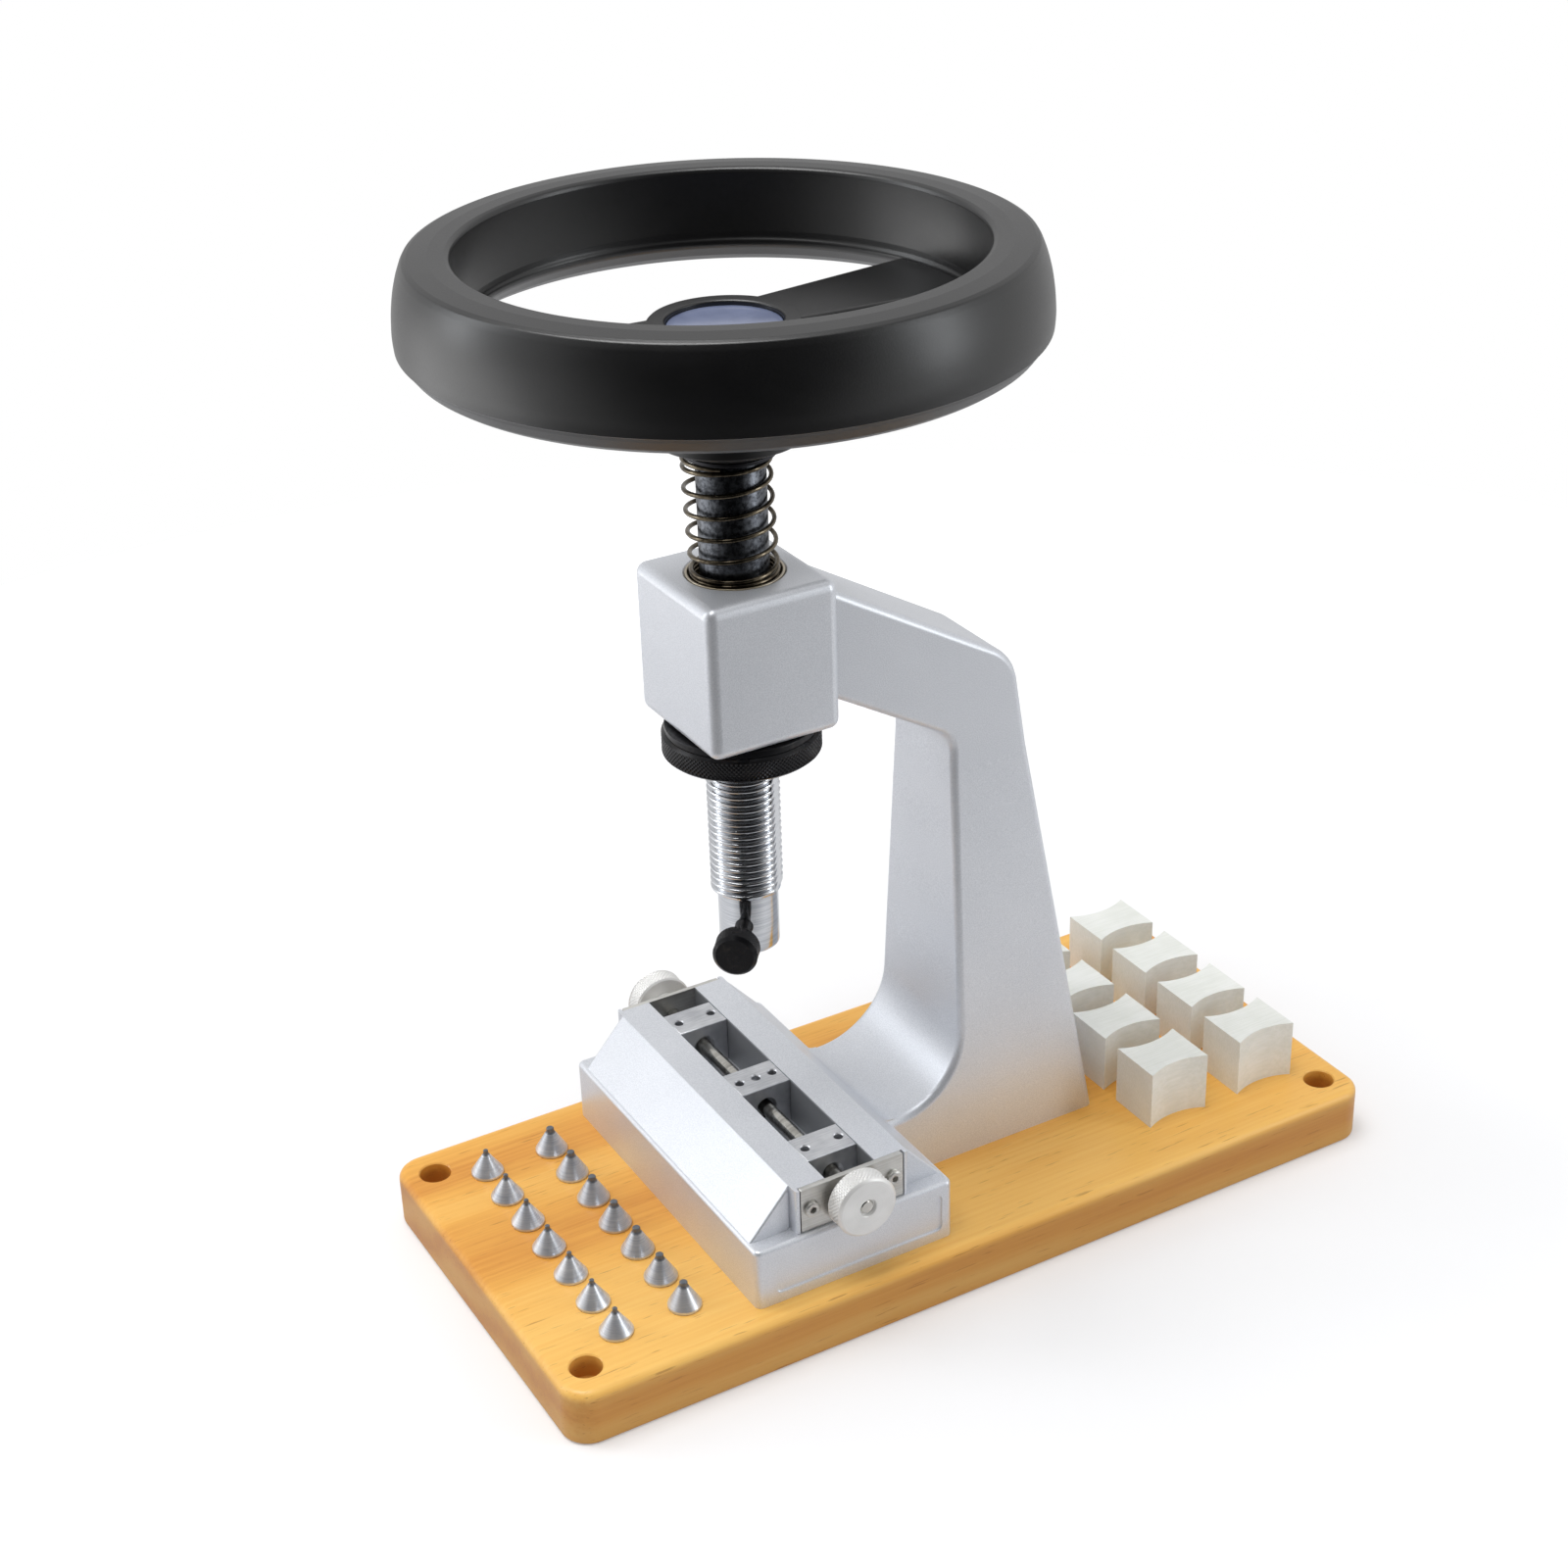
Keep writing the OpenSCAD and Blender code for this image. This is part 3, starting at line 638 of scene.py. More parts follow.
SILVER = SilverPaint()
PLASTIC = BlackPlastic()
BLACK = BlackMetal()
STEEL = SpindleSteel()
KNOB = TurnedFace()
BIT = BitSteel()
NYLON = Nylon()
CAP = CapGloss()
WOOD = VarnishedWood()
SPRING = Metal("spring_steel", "spring_steel", tint(128, 118, 101), tint(54, 47, 38), 0.12, 0.14,
               (700, 700, 90), 0.4)
# painted shade: a dark finish for the thrust washer, standing in for the shadow under the hub
SHADED = Metal("washer_painted_shade", "fastener", tint(74, 74, 77), tint(42, 42, 45), 0.4, 0.1)
BRONZE = Metal("bronze", "bronze", tint(208, 200, 184), tint(160, 148, 126), 0.26, 0.16, (60, 60, 3000), 0.4)
BRASS = Metal("brass", "brass", tint(222, 190, 118), tint(186, 150, 82), 0.25, 0.15, (60, 60, 3000), 0.4)
PLATE = Metal("nickel_plate", "nickel", tint(226, 225, 221), tint(188, 186, 181), 0.32, 0.16,
              (900, 40, 2600), 0.35)
JAW = Metal("jaw_metal", "jaw_metal", tint(226, 227, 230), tint(184, 186, 191), 0.3, 0.18,
            (2600, 160, 160), 0.45, 0.9)
SCREW = Metal("vise_screw_steel", "nickel", tint(216, 214, 208), tint(150, 147, 140), 0.14, 0.12,
              (900, 60, 60), 0.35)
ZINC = Metal("zinc_fastener", "fastener", tint(196, 198, 202), tint(150, 152, 158), 0.28, 0.16,
             (500, 500, 500), 0.35)


# ---------------------------------------------------------------------------------------------
# the bench


class Way(Enum):
    """Directions in which an outline is drawn out."""

    X = 0
    Z = 2


def settle() -> None:
    """Leave edit mode and deselect everything."""
    if bpy.context.object and bpy.context.object.mode != "OBJECT":
        bpy.ops.object.mode_set(mode="OBJECT")
    bpy.ops.object.select_all(action="DESELECT")


def rounded(before: Flat, corner: Flat, after: Flat, radius: float, steps: int) -> list[Flat]:
    """Points of an arc that rounds a corner.

    Args:
        before: the point before the corner.
        corner: the corner.
        after: the point after it.
        radius: the arc's radius.
        steps: its number of chords.

    Returns:
        The arc's points in order.
    """
    c = Vector(corner)
    u = (Vector(before) - c).normalized()
    v = (Vector(after) - c).normalized()
    half = u.angle(v) / 2
    centre = c + (u + v).normalized() * radius / math.sin(half)
    first = c + u * radius / math.tan(half) - centre
    last = c + v * radius / math.tan(half) - centre
    a0 = math.atan2(first.y, first.x)
    turn = (math.atan2(last.y, last.x) - a0 + 3 * math.pi) % (2 * math.pi) - math.pi
    return [(centre.x + radius * math.cos(a0 + turn * i / steps),
             centre.y + radius * math.sin(a0 + turn * i / steps)) for i in range(steps + 1)]


def softened(points: Sequence[Flat], radius: float, steps: int = 3, closed: bool = False) -> list[Flat]:
    """A profile with each corner rounded, by no more than the lengths beside it allow.

    Args:
        points: the profile's corners.
        radius: the largest rounding.
        steps: chords in each rounding.
        closed: whether the last point joins the first.

    Returns:
        The rounded profile, with its first point repeated at the end where it is closed.
    """
    n = len(points)
    result: list[Flat] = []
    for i, p in enumerate(points):
        if not closed and i in (0, n - 1):
            result.append(p)
            continue
        a, b = points[i - 1], points[(i + 1) % n]
        u, v = Vector(a) - Vector(p), Vector(b) - Vector(p)
        bend = math.pi - u.angle(v)
        if bend < 0.05:
            result.append(p)
            continue
        room = 0.45 * min(u.length, v.length) / math.tan(bend / 2)
        result += rounded(a, p, b, min(radius, room), steps)
    if closed:
        result.append(result[0])
    return result


def curved(points: Sequence[Flat], parts: int) -> list[Flat]:
    """A smooth line through all the points.

    Args:
        points: the points in order.
        parts: chords from one point to the next.

    Returns:
        The line's points.
    """
    ends = [points[0], *points, points[-1]]
    line: list[Flat] = []
    for four in zip(ends, ends[1:], ends[2:], ends[3:]):
        for t in (k / parts for k in range(parts)):
            line.append(tuple(0.5 * (2 * q + (r - p) * t + (2 * p - 5 * q + 4 * r - s) * t ** 2
                                     + (3 * q - p - 3 * r + s) * t ** 3) for p, q, r, s in zip(*four)))
    return line + [points[-1]]


def knurl(teeth: int, radius: float, low: float, high: float, depth: float) -> Callable:
    """Crossed knurling between two heights.

    Args:
        teeth: how many go round.
        radius: the outer radius.
        low: height where it starts.
        high: height where it ends.
        depth: depth of the grooves.

    Returns:
        A function that shapes a turned piece's radius.
    """
    def shape(angle: np.ndarray, r: np.ndarray, z: np.ndarray) -> np.ndarray:
        """Radius with the knurl cut into it.

        Args:
            angle: the angle round the axis.
            r: the radius before the cut.
            z: the height.

        Returns:
            The radius.
        """
        around = teeth * angle / (2 * math.pi)
        along = z * teeth / (2 * math.pi * radius)
        one = np.abs(2 * ((around + along) % 1) - 1)
        two = np.abs(2 * ((around - along) % 1) - 1)
        cut = depth * (1 - np.minimum(one, two))
        band = np.clip(np.minimum(z - low, high - z) / 0.3, 0, 1)
        return np.where(r > radius - 0.05, r - cut * band, r)
    return shape


class Piece:
    """A piece on the bench, worked in millimetres."""

    def __init__(self, name: str) -> None:
        """Take the object that an operator has just added."""
        self.obj = bpy.context.active_object
        self.obj.name = name
        self.obj.data.name = name

    @classmethod
    def block(cls, name: str, low: Point, high: Point) -> "Piece":
        """Box between two corners.

        Args:
            name: the piece's name.
            low: the lowest corner.
            high: the highest corner.

        Returns:
            The box.
        """
        settle()
        centre = [(a + b) / 2 for a, b in zip(low, high)]
        bpy.ops.mesh.primitive_cube_add(size=1, location=centre)
        piece = cls(name)
        piece.obj.scale = [b - a for a, b in zip(low, high)]
        bpy.ops.object.transform_apply(location=True, rotation=True, scale=True)
        return piece

    @classmethod
    def outline(cls, name: str, points: Sequence[Flat], way: Way, low: float, high: float) -> "Piece":
        """Flat outline drawn out between two planes.

        Args:
            name: the piece's name.
            points: corners, (y, z) for a draw along X or (x, y) along Z.
            way: the direction of the draw.
            low: the first plane.
            high: the second plane.

        Returns:
            The closed piece.
        """
        settle()
        bpy.ops.mesh.primitive_circle_add(vertices=len(points), radius=1, fill_type="NGON")
        piece = cls(name)
        for vertex, (a, b) in zip(piece.obj.data.vertices, points):
            vertex.co = (low, a, b) if way is Way.X else (a, b, low)
        draw = [0.0, 0.0, 0.0]
        draw[way.value] = high - low
        with piece.editing("FACE") as mesh:
            for face in mesh.faces:
                face.select = True
            bpy.ops.mesh.extrude_region_move(TRANSFORM_OT_translate={"value": draw})
            bpy.ops.mesh.select_all(action="SELECT")
            bpy.ops.mesh.normals_make_consistent(inside=False)
        return piece

    @classmethod
    def turned(cls, name: str, profile: Sequence[Flat], centre: Flat = (0.0, 0.0), columns: int = 96,
               shape: Callable | None = None) -> "Piece":
        """Grid rolled up round an upright axis into a turned piece.

        Args:
            name: the piece's name.
            profile: (radius, height) points from end to end.
            centre: where the axis stands.
            columns: faces around.
            shape: changes the radius by angle, radius and height.

        Returns:
            The closed piece.
        """
        settle()
        rows = len(profile) - 1
        bpy.ops.mesh.primitive_grid_add(x_subdivisions=columns, y_subdivisions=rows, size=1)
        piece = cls(name)
        mesh = piece.obj.data
        co = np.empty(len(mesh.vertices) * 3)
        mesh.vertices.foreach_get("co", co)
        co = co.reshape(-1, 3)
        column = np.rint((co[:, 0] + 0.5) * columns).astype(int) % columns
        row = np.rint((co[:, 1] + 0.5) * rows).astype(int)
        flat = np.array(profile, float)
        angle = 2 * math.pi * column / columns
        radius, height = flat[row, 0], flat[row, 1]
        if shape is not None:
            radius = shape(angle, radius, height)
        co[:, 0] = centre[0] + radius * np.cos(angle)
        co[:, 1] = centre[1] + radius * np.sin(angle)
        co[:, 2] = height
        mesh.vertices.foreach_set("co", co.ravel())
        mesh.update()
        piece.heal()
        return piece

    @contextmanager
    def editing(self, kind: str) -> Iterator[bmesh.types.BMesh]:
        """Edit mode on this piece alone, with nothing selected.

        Args:
            kind: what is edited, VERT, EDGE or FACE.

        Yields:
            The mesh being edited.
        """
        self.choose()
        bpy.ops.object.mode_set(mode="EDIT")
        bpy.ops.mesh.select_mode(type=kind)
        bpy.ops.mesh.select_all(action="DESELECT")
        yield bmesh.from_edit_mesh(self.obj.data)
        bpy.ops.object.mode_set(mode="OBJECT")

    def choose(self) -> None:
        """Select this piece alone."""
        settle()
        bpy.context.view_layer.objects.active = self.obj
        self.obj.select_set(True)

    def heal(self) -> "Piece":
        """Close seams and poles and turn the faces outwards.

        Returns:
            The piece itself.
        """
        with self.editing("VERT"):
            bpy.ops.mesh.select_all(action="SELECT")
            bpy.ops.mesh.remove_doubles(threshold=0.0004)
            bpy.ops.mesh.normals_make_consistent(inside=False)
        return self

    def bevel(self, test: Callable[[bmesh.types.BMEdge], bool], width: float, steps: int = 3) -> "Piece":
        """Round the edges that pass a test.

        Args:
            test: picks the edges.
            width: the rounding's width.
            steps: its number of strips.

        Returns:
            The piece itself.
        """
        with self.editing("EDGE") as mesh:
            for edge in mesh.edges:
                if test(edge):
                    edge.select_set(True)
            bmesh.update_edit_mesh(self.obj.data)
            bpy.ops.mesh.bevel(offset=width, offset_type="OFFSET", segments=steps, profile=0.5,
                               affect="EDGES", clamp_overlap=True)
        return self

    def soften(self, width: float, steps: int, angle: float) -> "Piece":
        """Round every edge sharper than an angle.

        Args:
            width: the rounding's width.
            steps: its number of strips.
            angle: the angle, in degrees.

        Returns:
            The piece itself.
        """
        modifier = self.obj.modifiers.new("soften", "BEVEL")
        modifier.width = width
        modifier.segments = steps
        modifier.limit_method = "ANGLE"
        modifier.angle_limit = math.radians(angle)
        modifier.use_clamp_overlap = True
        self.choose()
        bpy.ops.object.modifier_apply(modifier=modifier.name)
        return self

    def divide(self, point: Point, normal: Point) -> "Piece":
        """Cut the faces along a plane and keep both sides.

        Args:
            point: a point of the plane.
            normal: the plane's normal.

        Returns:
            The piece itself.
        """
        with self.editing("FACE"):
            bpy.ops.mesh.select_all(action="SELECT")
            bpy.ops.mesh.bisect(plane_co=point, plane_no=normal)
        return self

    def reshape(self, rule: Callable[[Vector], Point]) -> "Piece":
        """Move every vertex by a rule."""
        for vertex in self.obj.data.vertices:
            vertex.co = rule(vertex.co.copy())
        return self

    def stand(self, matrix: Matrix) -> "Piece":
        """Turn and move the mesh."""
        self.obj.data.transform(matrix)
        self.obj.data.update()
        return self

    def gather(self, others: Sequence["Piece"]) -> "Piece":
        """Take other pieces' meshes into this one.

        Args:
            others: the pieces, which are used up.

        Returns:
            The piece itself.
        """
        self.choose()
        for other in others:
            other.obj.select_set(True)
        bpy.ops.object.join()
        return self

    def combine(self, tool: "Piece", operation: str) -> "Piece":
        """Unite with, or cut by, a tool.

        Args:
            tool: the tool, which is used up.
            operation: UNION or DIFFERENCE.

        Returns:
            The piece itself.
        """
        modifier = self.obj.modifiers.new("combine", "BOOLEAN")
        modifier.solver = "EXACT"
        modifier.operation = operation
        modifier.object = tool.obj
        self.choose()
        bpy.ops.object.modifier_apply(modifier=modifier.name)
        bpy.data.objects.remove(tool.obj)
        return self

    def unite(self, *tools: "Piece") -> "Piece":
        """Unite with each tool."""
        for tool in tools:
            self.combine(tool, "UNION")
        return self

    def cut(self, tools: Sequence["Piece"]) -> "Piece":
        """Cut by several tools that don't touch each other."""
        return self.combine(tools[0].gather(tools[1:]), "DIFFERENCE")

    def copy(self, name: str, matrix: Matrix) -> "Piece":
        """Copy the piece.

        Args:
            name: the copy's name.
            matrix: where it goes from here.

        Returns:
            The copy, with its own mesh.
        """
        settle()
        self.obj.select_set(True)
        bpy.context.view_layer.objects.active = self.obj
        bpy.ops.object.duplicate(linked=False)
        return Piece(name).stand(matrix)

    def done(self, finish: Finish, body: str, nodes: Sequence[str], smooth: float, even: bool) -> None:
        """Bring the piece to metres, shade it, dress it and put it on its body.

        Args:
            finish: its finish.
            body: the body that carries it.
            nodes: the frame's nodes that it stands for.
            smooth: edges sharper than this many degrees stay crisp.
            even: whether large faces lead the shading.
        """
        self.obj.data.transform(Matrix.Scale(MM, 4))
        self.choose()
        bpy.ops.object.shade_smooth_by_angle(angle=math.radians(smooth))
        if even:
            modifier = self.obj.modifiers.new("even", "WEIGHTED_NORMAL")
            modifier.keep_sharp = True
            bpy.ops.object.modifier_apply(modifier=modifier.name)
        self.obj.data.materials.clear()
        self.obj.data.materials.append(finish.material())
        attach(self.obj, body)
        if nodes:
            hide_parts(*nodes)
        log.info("%s: %d faces, on %s", self.obj.name, len(self.obj.data.polygons), body)


def pin(name: str, radius: float, low: float, high: float, centre: Flat = (0.0, 0.0), ease: float = 0.3,
        columns: int = 48) -> Piece:
    """Upright pin with eased ends."""
    return Piece.turned(name, [(0, low), (radius - ease, low), (radius, low + ease), (radius, high - ease),
                               (radius - ease, high), (0, high)], centre, columns)


def drill(name: str, centre: Flat, steps: Sequence[Flat], columns: int = 48) -> Piece:
    """Cutting tool for a stepped upright hole, from (radius, height) steps."""
    points = [(0.0, steps[0][1]), *steps, (0.0, steps[-1][1])]
    return Piece.turned(name, points, centre, columns)


def along_x(place: Point, side: float = 1.0) -> Matrix:
    """Lays an upright piece along X, towards +X or -X."""
    return Matrix.Translation(place) @ Matrix.Rotation(side * math.pi / 2, 4, "Y")


def along_lock() -> Matrix:
    """Lays an upright piece along the lock screw's axis."""
    return (Matrix.Translation((0, AXIS_Y, LOCK_Z)) @ Matrix.Rotation(math.radians(LOCK_AZ), 4, "Z")
            @ Matrix.Rotation(math.pi / 2, 4, "Y"))


def upside_down(place: Point) -> Matrix:
    """Stands an upright piece on its head."""
    return Matrix.Translation(place) @ Matrix.Rotation(math.pi, 4, "X")


def is_at(edge: bmesh.types.BMEdge, axis: int, value: float, slack: float = 0.02) -> bool:
    """Whether both ends of an edge lie at a value of one axis."""
    return all(abs(v.co[axis] - value) < slack for v in edge.verts)


def runs(edge: bmesh.types.BMEdge, axis: int) -> bool:
    """Whether an edge runs along an axis."""
    line = edge.verts[1].co - edge.verts[0].co
    return line.length > 1e-6 and abs(line[axis]) > 0.999 * line.length


@dataclass
class Made:
    """A worked piece with what dressing it needs."""

    piece: Piece
    finish: Finish
    nodes: tuple[str, ...]
    smooth: float = 32.0
    even: bool = True


@dataclass
class SubAssembly:
    """A group of pieces that are built and dressed together."""

    made: list[Made] = field(default_factory=list, init=False)

    def build(self) -> None:
        """Work the pieces."""
        raise NotImplementedError

    def add(self, piece: Piece, finish: Finish, *nodes: str, smooth: float = 32.0, even: bool = True) -> None:
        """Note a worked piece."""
        self.made.append(Made(piece, finish, nodes, smooth, even))

    def keep(self, finish: Finish, *nodes: str) -> None:
        """Give nodes of the frame that stay as they are their finish.

        Args:
            finish: the finish.
            nodes: the nodes' names.
        """
        for node in nodes:
            mesh = frame["nodes"][node].data
            mesh.materials.clear()
            mesh.materials.append(finish.material())
            log.info("%s: kept", node)

    def dress(self) -> None:
        """Finish each piece and put it on the body of the node that it stands for."""
        for item in self.made:
            item.piece.done(item.finish, BODY_OF[item.nodes[0]], item.nodes, item.smooth, item.even)


# ---------------------------------------------------------------------------------------------
# the press


@dataclass
class WoodenBase(SubAssembly):
    """The varnished board with all its holes."""

    length: float = 264.0
    width: float = 121.0
    corner: float = 8.0
    edge: float = 2.4
    fixings: Flat = (49.5, 122.5)

    def build(self) -> None:
        """Round the board, then drill it."""
        x, y, top = self.width / 2, self.length / 2, BOARD_TOP
        board = Piece.block("board", (-x, -y, 0), (x, y, top))
        board.bevel(lambda e: runs(e, 2), self.corner, 10)
        board.bevel(lambda e: is_at(e, 2, top), self.edge, 5)
        board.bevel(lambda e: is_at(e, 2, 0), 1.2, 3)
        tools = [drill("t", (i * self.fixings[0], j * self.fixings[1]),
                       [(2.25, -1), (2.25, 10), (4.5, 10), (4.5, top - 0.35), (5.2, top + 0.35)])
                 for i in (-1, 1) for j in (-1, 1)]
        tools += [drill("t", (px, py), [(5.5, -1), (5.5, 6.5), (2.8, 6.5), (2.8, top + 1)])
                  for px, py in Casting.bolts]
        for bx, by in HolderBlocks().places():
            tools += [drill("t", (bx, by + j * PEG_AT), [(1.25, 9), (1.25, top - 0.15), (1.6, top + 0.2)], 20)
                      for j in (-1, 1)]
        tools += [drill("t", p, [(1.65, 7), (1.65, top - 0.15), (2.0, top + 0.2)], 20) for p in Bits().places()]
        board.cut(tools)
        self.add(board, WOOD, "wooden_base", smooth=40)


@dataclass
class Casting(SubAssembly):
    """The one silver casting: vise body, foot, column, arm and head."""

    bolts = ((-38.0, AXIS_Y), (38.0, AXIS_Y), (-12.0, 33.7), (12.0, 33.7))
    foot_half: float = 24.0
    arm_half: float = 15.3
    taper_top: float = 139.0
    edge: float = 2.2
    slope_end: float = 49.0
    low_half: float = 31.0
    top_half: float = 17.5
    seam_at: float = 17.8

    def profile(self) -> list[Flat]:
        """Side view of the foot, column and arm.

        Returns:
            Its corners as (y, z), from the board's rear round the arm to the front.
        """
        front, lean, fall = -23.5, 0.158, 0.588
        col, back, arm_top = AXIS_Y + 56.2, AXIS_Y + 100.2, 200.6
        corner = (back / lean + BOARD_TOP - arm_top - fall * front) / (1 / lean - fall)
        a = (back, BOARD_TOP)
        b = (corner, arm_top - fall * (corner - front))
        c = (front - 6, arm_top + 6 * fall)
        d = (front - 6, c[1] - 31.0)
        e = (col, d[1] - fall * (col - d[0]))
        f = (col - 1.6, FOOT_TOP)
        g = (AXIS_Y + 10, FOOT_TOP)
        h = (AXIS_Y + 10, BOARD_TOP)
        return [a, *rounded(a, b, c, 15, 14), c, d, *rounded(d, e, f, 8, 10), *rounded(e, f, g, 22, 20), g, h]

    def half(self, z: float) -> float:
        """Half width of the column at a height."""
        share = min(max((z - BOARD_TOP) / (self.taper_top - BOARD_TOP), 0), 1)
        return self.foot_half + (self.arm_half - self.foot_half) * share

    def column(self) -> Piece:
        """Foot, column and arm in one, tapered, with eased edges.

        Returns:
            The piece that the rest of the casting is united with.
        """
        wide = self.foot_half
        piece = Piece.outline("cast_frame", self.profile(), Way.X, -wide, wide)
        piece.divide((0, 0, self.taper_top), (0, 0, 1))
        piece.reshape(lambda v: (math.copysign(self.half(v.z), v.x), v.y, v.z))

        def outer(edge: bmesh.types.BMEdge) -> bool:
            """Edges of the side faces, apart from those on the board."""
            one, two = (v.co for v in edge.verts)
            return (one.x * two.x > 0 and not is_at(edge, 2, BOARD_TOP)
                    and edge.calc_face_angle(0.0) > math.radians(40))
        return piece.bevel(outer, self.edge, 5)

    def vise(self) -> list[Piece]:
        """Lower block, sloped upper part and the tongue that carries the end plates.

        Returns:
            The three pieces.
        """
        y, wide, narrow, end = AXIS_Y, self.low_half, self.top_half, self.slope_end
        low = Piece.block("vise_low", (-LOW_END, y - wide, BOARD_TOP), (LOW_END, y + wide, LOW_TOP))
        low.bevel(lambda e: runs(e, 2), 2.0, 5)
        low.bevel(lambda e: is_at(e, 2, LOW_TOP), 1.3, 4)
        left, front, rear, right = (-30, LOW_TOP), (-narrow, VISE_TOP), (narrow, VISE_TOP), (30, LOW_TOP)
        view = [(-30, LOW_TOP - 1), left, *rounded(left, front, rear, 0.9, 4), *rounded(front, rear, right, 0.9, 4),
                right, (30, LOW_TOP - 1)]
        slope = Piece.outline("vise_slope", [(y + a, b) for a, b in view], Way.X, -end, end)
        slope.bevel(lambda e: (e.verts[0].co.x * e.verts[1].co.x > 0
                               and max(v.co.z for v in e.verts) > LOW_TOP + 0.1), 0.9, 3)
        top = VISE_TOP - 0.02
        tongue = Piece.block("vise_tongue", (-TONGUE_END, y - narrow, LOW_TOP - 1), (TONGUE_END, y + narrow, top))
        tongue.bevel(lambda e: runs(e, 2), 0.9, 4)
        tongue.bevel(lambda e: is_at(e, 2, top) and runs(e, 1), 0.5, 2)
        return [low, slope, tongue]

    def cove(self) -> Piece:
        """Soft hollow where the foot's top meets the vise's rear slope.

        Returns:
            The fillet, as a strip along X.
        """
        fall = (VISE_TOP - LOW_TOP) / 12.5
        corner_y = AXIS_Y + 30 - (FOOT_TOP - LOW_TOP) / fall
        up = (corner_y - 8, FOOT_TOP + 8 * fall)
        out = (corner_y + 16, FOOT_TOP)
        arc = rounded(up, (corner_y, FOOT_TOP), out, 5.5, 8)
        points = [*arc, (arc[-1][0], FOOT_TOP - 1.2), (corner_y - 3, FOOT_TOP - 1.2),
                  (arc[0][0] - 1.4, arc[0][1] - 0.6)]
        return Piece.outline("cove", points, Way.X, -21.6, 21.6)

    def tools(self) -> list[list[Piece]]:
        """Everything that is cut from the casting.

        Returns:
            The tools, in groups whose tools don't touch each other.
        """
        y, over = AXIS_Y, 60

        def gap(side: int, near: float, far: float, middle: float, half: float, low: float) -> Piece:
            """Upright opening at one end of the vise."""
            x0, x1 = sorted((side * near, side * far))
            return Piece.block("t", (x0, y + middle - half, low), (x1, y + middle + half, over))

        slot = Piece.block("t", (-60, y - SLOT_HALF, LOW_TOP + 0.02), (60, y + SLOT_HALF, over))
        bore = drill("t", (0, y), [(11.1, HEAD_LOW - 1), (11.1, HEAD_LOW), (10.5, HEAD_LOW + 0.6), (10.5, 185),
                                   (12.9, 185), (12.9, HEAD_TOP - 0.5), (13.4, HEAD_TOP), (13.4, HEAD_TOP + 1)], 96)
        panel = Piece.block("t", (53.4, y - 25, 20), (56, y + 27.5, 32))
        panel.bevel(lambda e: runs(e, 0), 1.6, 4)
        panel.bevel(lambda e: is_at(e, 0, 53.4), 0.45, 3)
        holes = [drill("t", p, [(2.5, 15), (2.5, 30)], 24) for p in self.bolts]
        holes += [drill("t", (0, y + j * BLOCK_SCREW_AT), [(3.2, 15), (3.2, 25), (1.65, 25), (1.65, 36)], 24)
                  for j in (-1, 1)]
        taps = [drill("t", (0, 0), [(1.25, -8), (1.25, 8)], 24).stand(
            along_x((i * TONGUE_END, y + j * PLATE_SCREW_AT, SCREW_Z))) for i in (-1, 1) for j in (-1, 1)]
        seats = [gap(i, PLATE_IN, 56, 0, 16.35, LOW_TOP + 0.02) for i in (-1, 1)]
        seams = [gap(i, 48.4, 50, j * self.seam_at, 0.32, LOW_TOP + 0.3) for i in (-1, 1) for j in (-1, 1)]
        return [[slot], seats, seams, [bore, panel, *holes], taps]

    def build(self) -> None:
        """Unite the forms, then cut the slot, bores and holes."""
        body = self.column()
        head = Piece.block("head", (-20.25, AXIS_Y - 19, HEAD_LOW), (20.25, AXIS_Y + 19, HEAD_TOP))
        head.bevel(lambda e: True, 3.0, 6)
        body.unite(head, *self.vise(), self.cove())
        for group in self.tools():
            body.cut(group)
        self.add(body, SILVER, "frame_casting", smooth=38)

        bush = Piece.turned("bush", softened(
            [(9.05, 185.02), (12.88, 185.02), (12.88, HEAD_TOP + 0.15), (12.15, HEAD_TOP + 0.15),
             (12.15, SEAT_Z), (9.05, SEAT_Z)], 0.25, 3, True), (0, AXIS_Y), 96)
        self.add(bush, BRONZE, "head_bush")

        bolts = [hex_screw("frame_bolts", 4.4, 5.0, 2.48, 27.5, 2.3, 2.5).stand(upside_down((x, y, 6.5)))
                 for x, y in self.bolts]
        self.add(bolts[0].gather(bolts[1:]), ZINC, "casting_screws")


def hex_screw(name: str, head_r: float, head_h: float, shank_r: float, length: float, socket_r: float,
              socket_d: float) -> Piece:
    """Screw with a hexagon socket, head up, with the head's seat at height 0.

    Args:
        name: the piece's name.
        head_r: radius of the head.
        head_h: height of the head.
        shank_r: radius of the shank.
        length: length of the shank below the head.
        socket_r: radius over the socket's corners.
        socket_d: depth of the socket.

    Returns:
        The screw along +Z.
    """
    def shape(angle: np.ndarray, r: np.ndarray, z: np.ndarray) -> np.ndarray:
        """Make the socket's wall six-sided."""
        flat = socket_r * math.cos(math.pi / 6) / np.cos(angle % (math.pi / 3) - math.pi / 6)
        return np.where((r > 0) & (r < socket_r + 0.01) & (z > 0), flat * r / socket_r, r)
    low = head_h - socket_d
    profile = [(0, -length), (shank_r - 0.3, -length), (shank_r, -length + 0.3), (shank_r, -0.05), (head_r, 0),
               (head_r, head_h * 0.62), (head_r * 0.975, head_h * 0.82), (head_r * 0.9, head_h * 0.95),
               (head_r * 0.8, head_h), (socket_r + 0.15, head_h), (socket_r, head_h - 0.1), (socket_r, low), (0, low)]
    return Piece.turned(name, profile, columns=48, shape=shape)


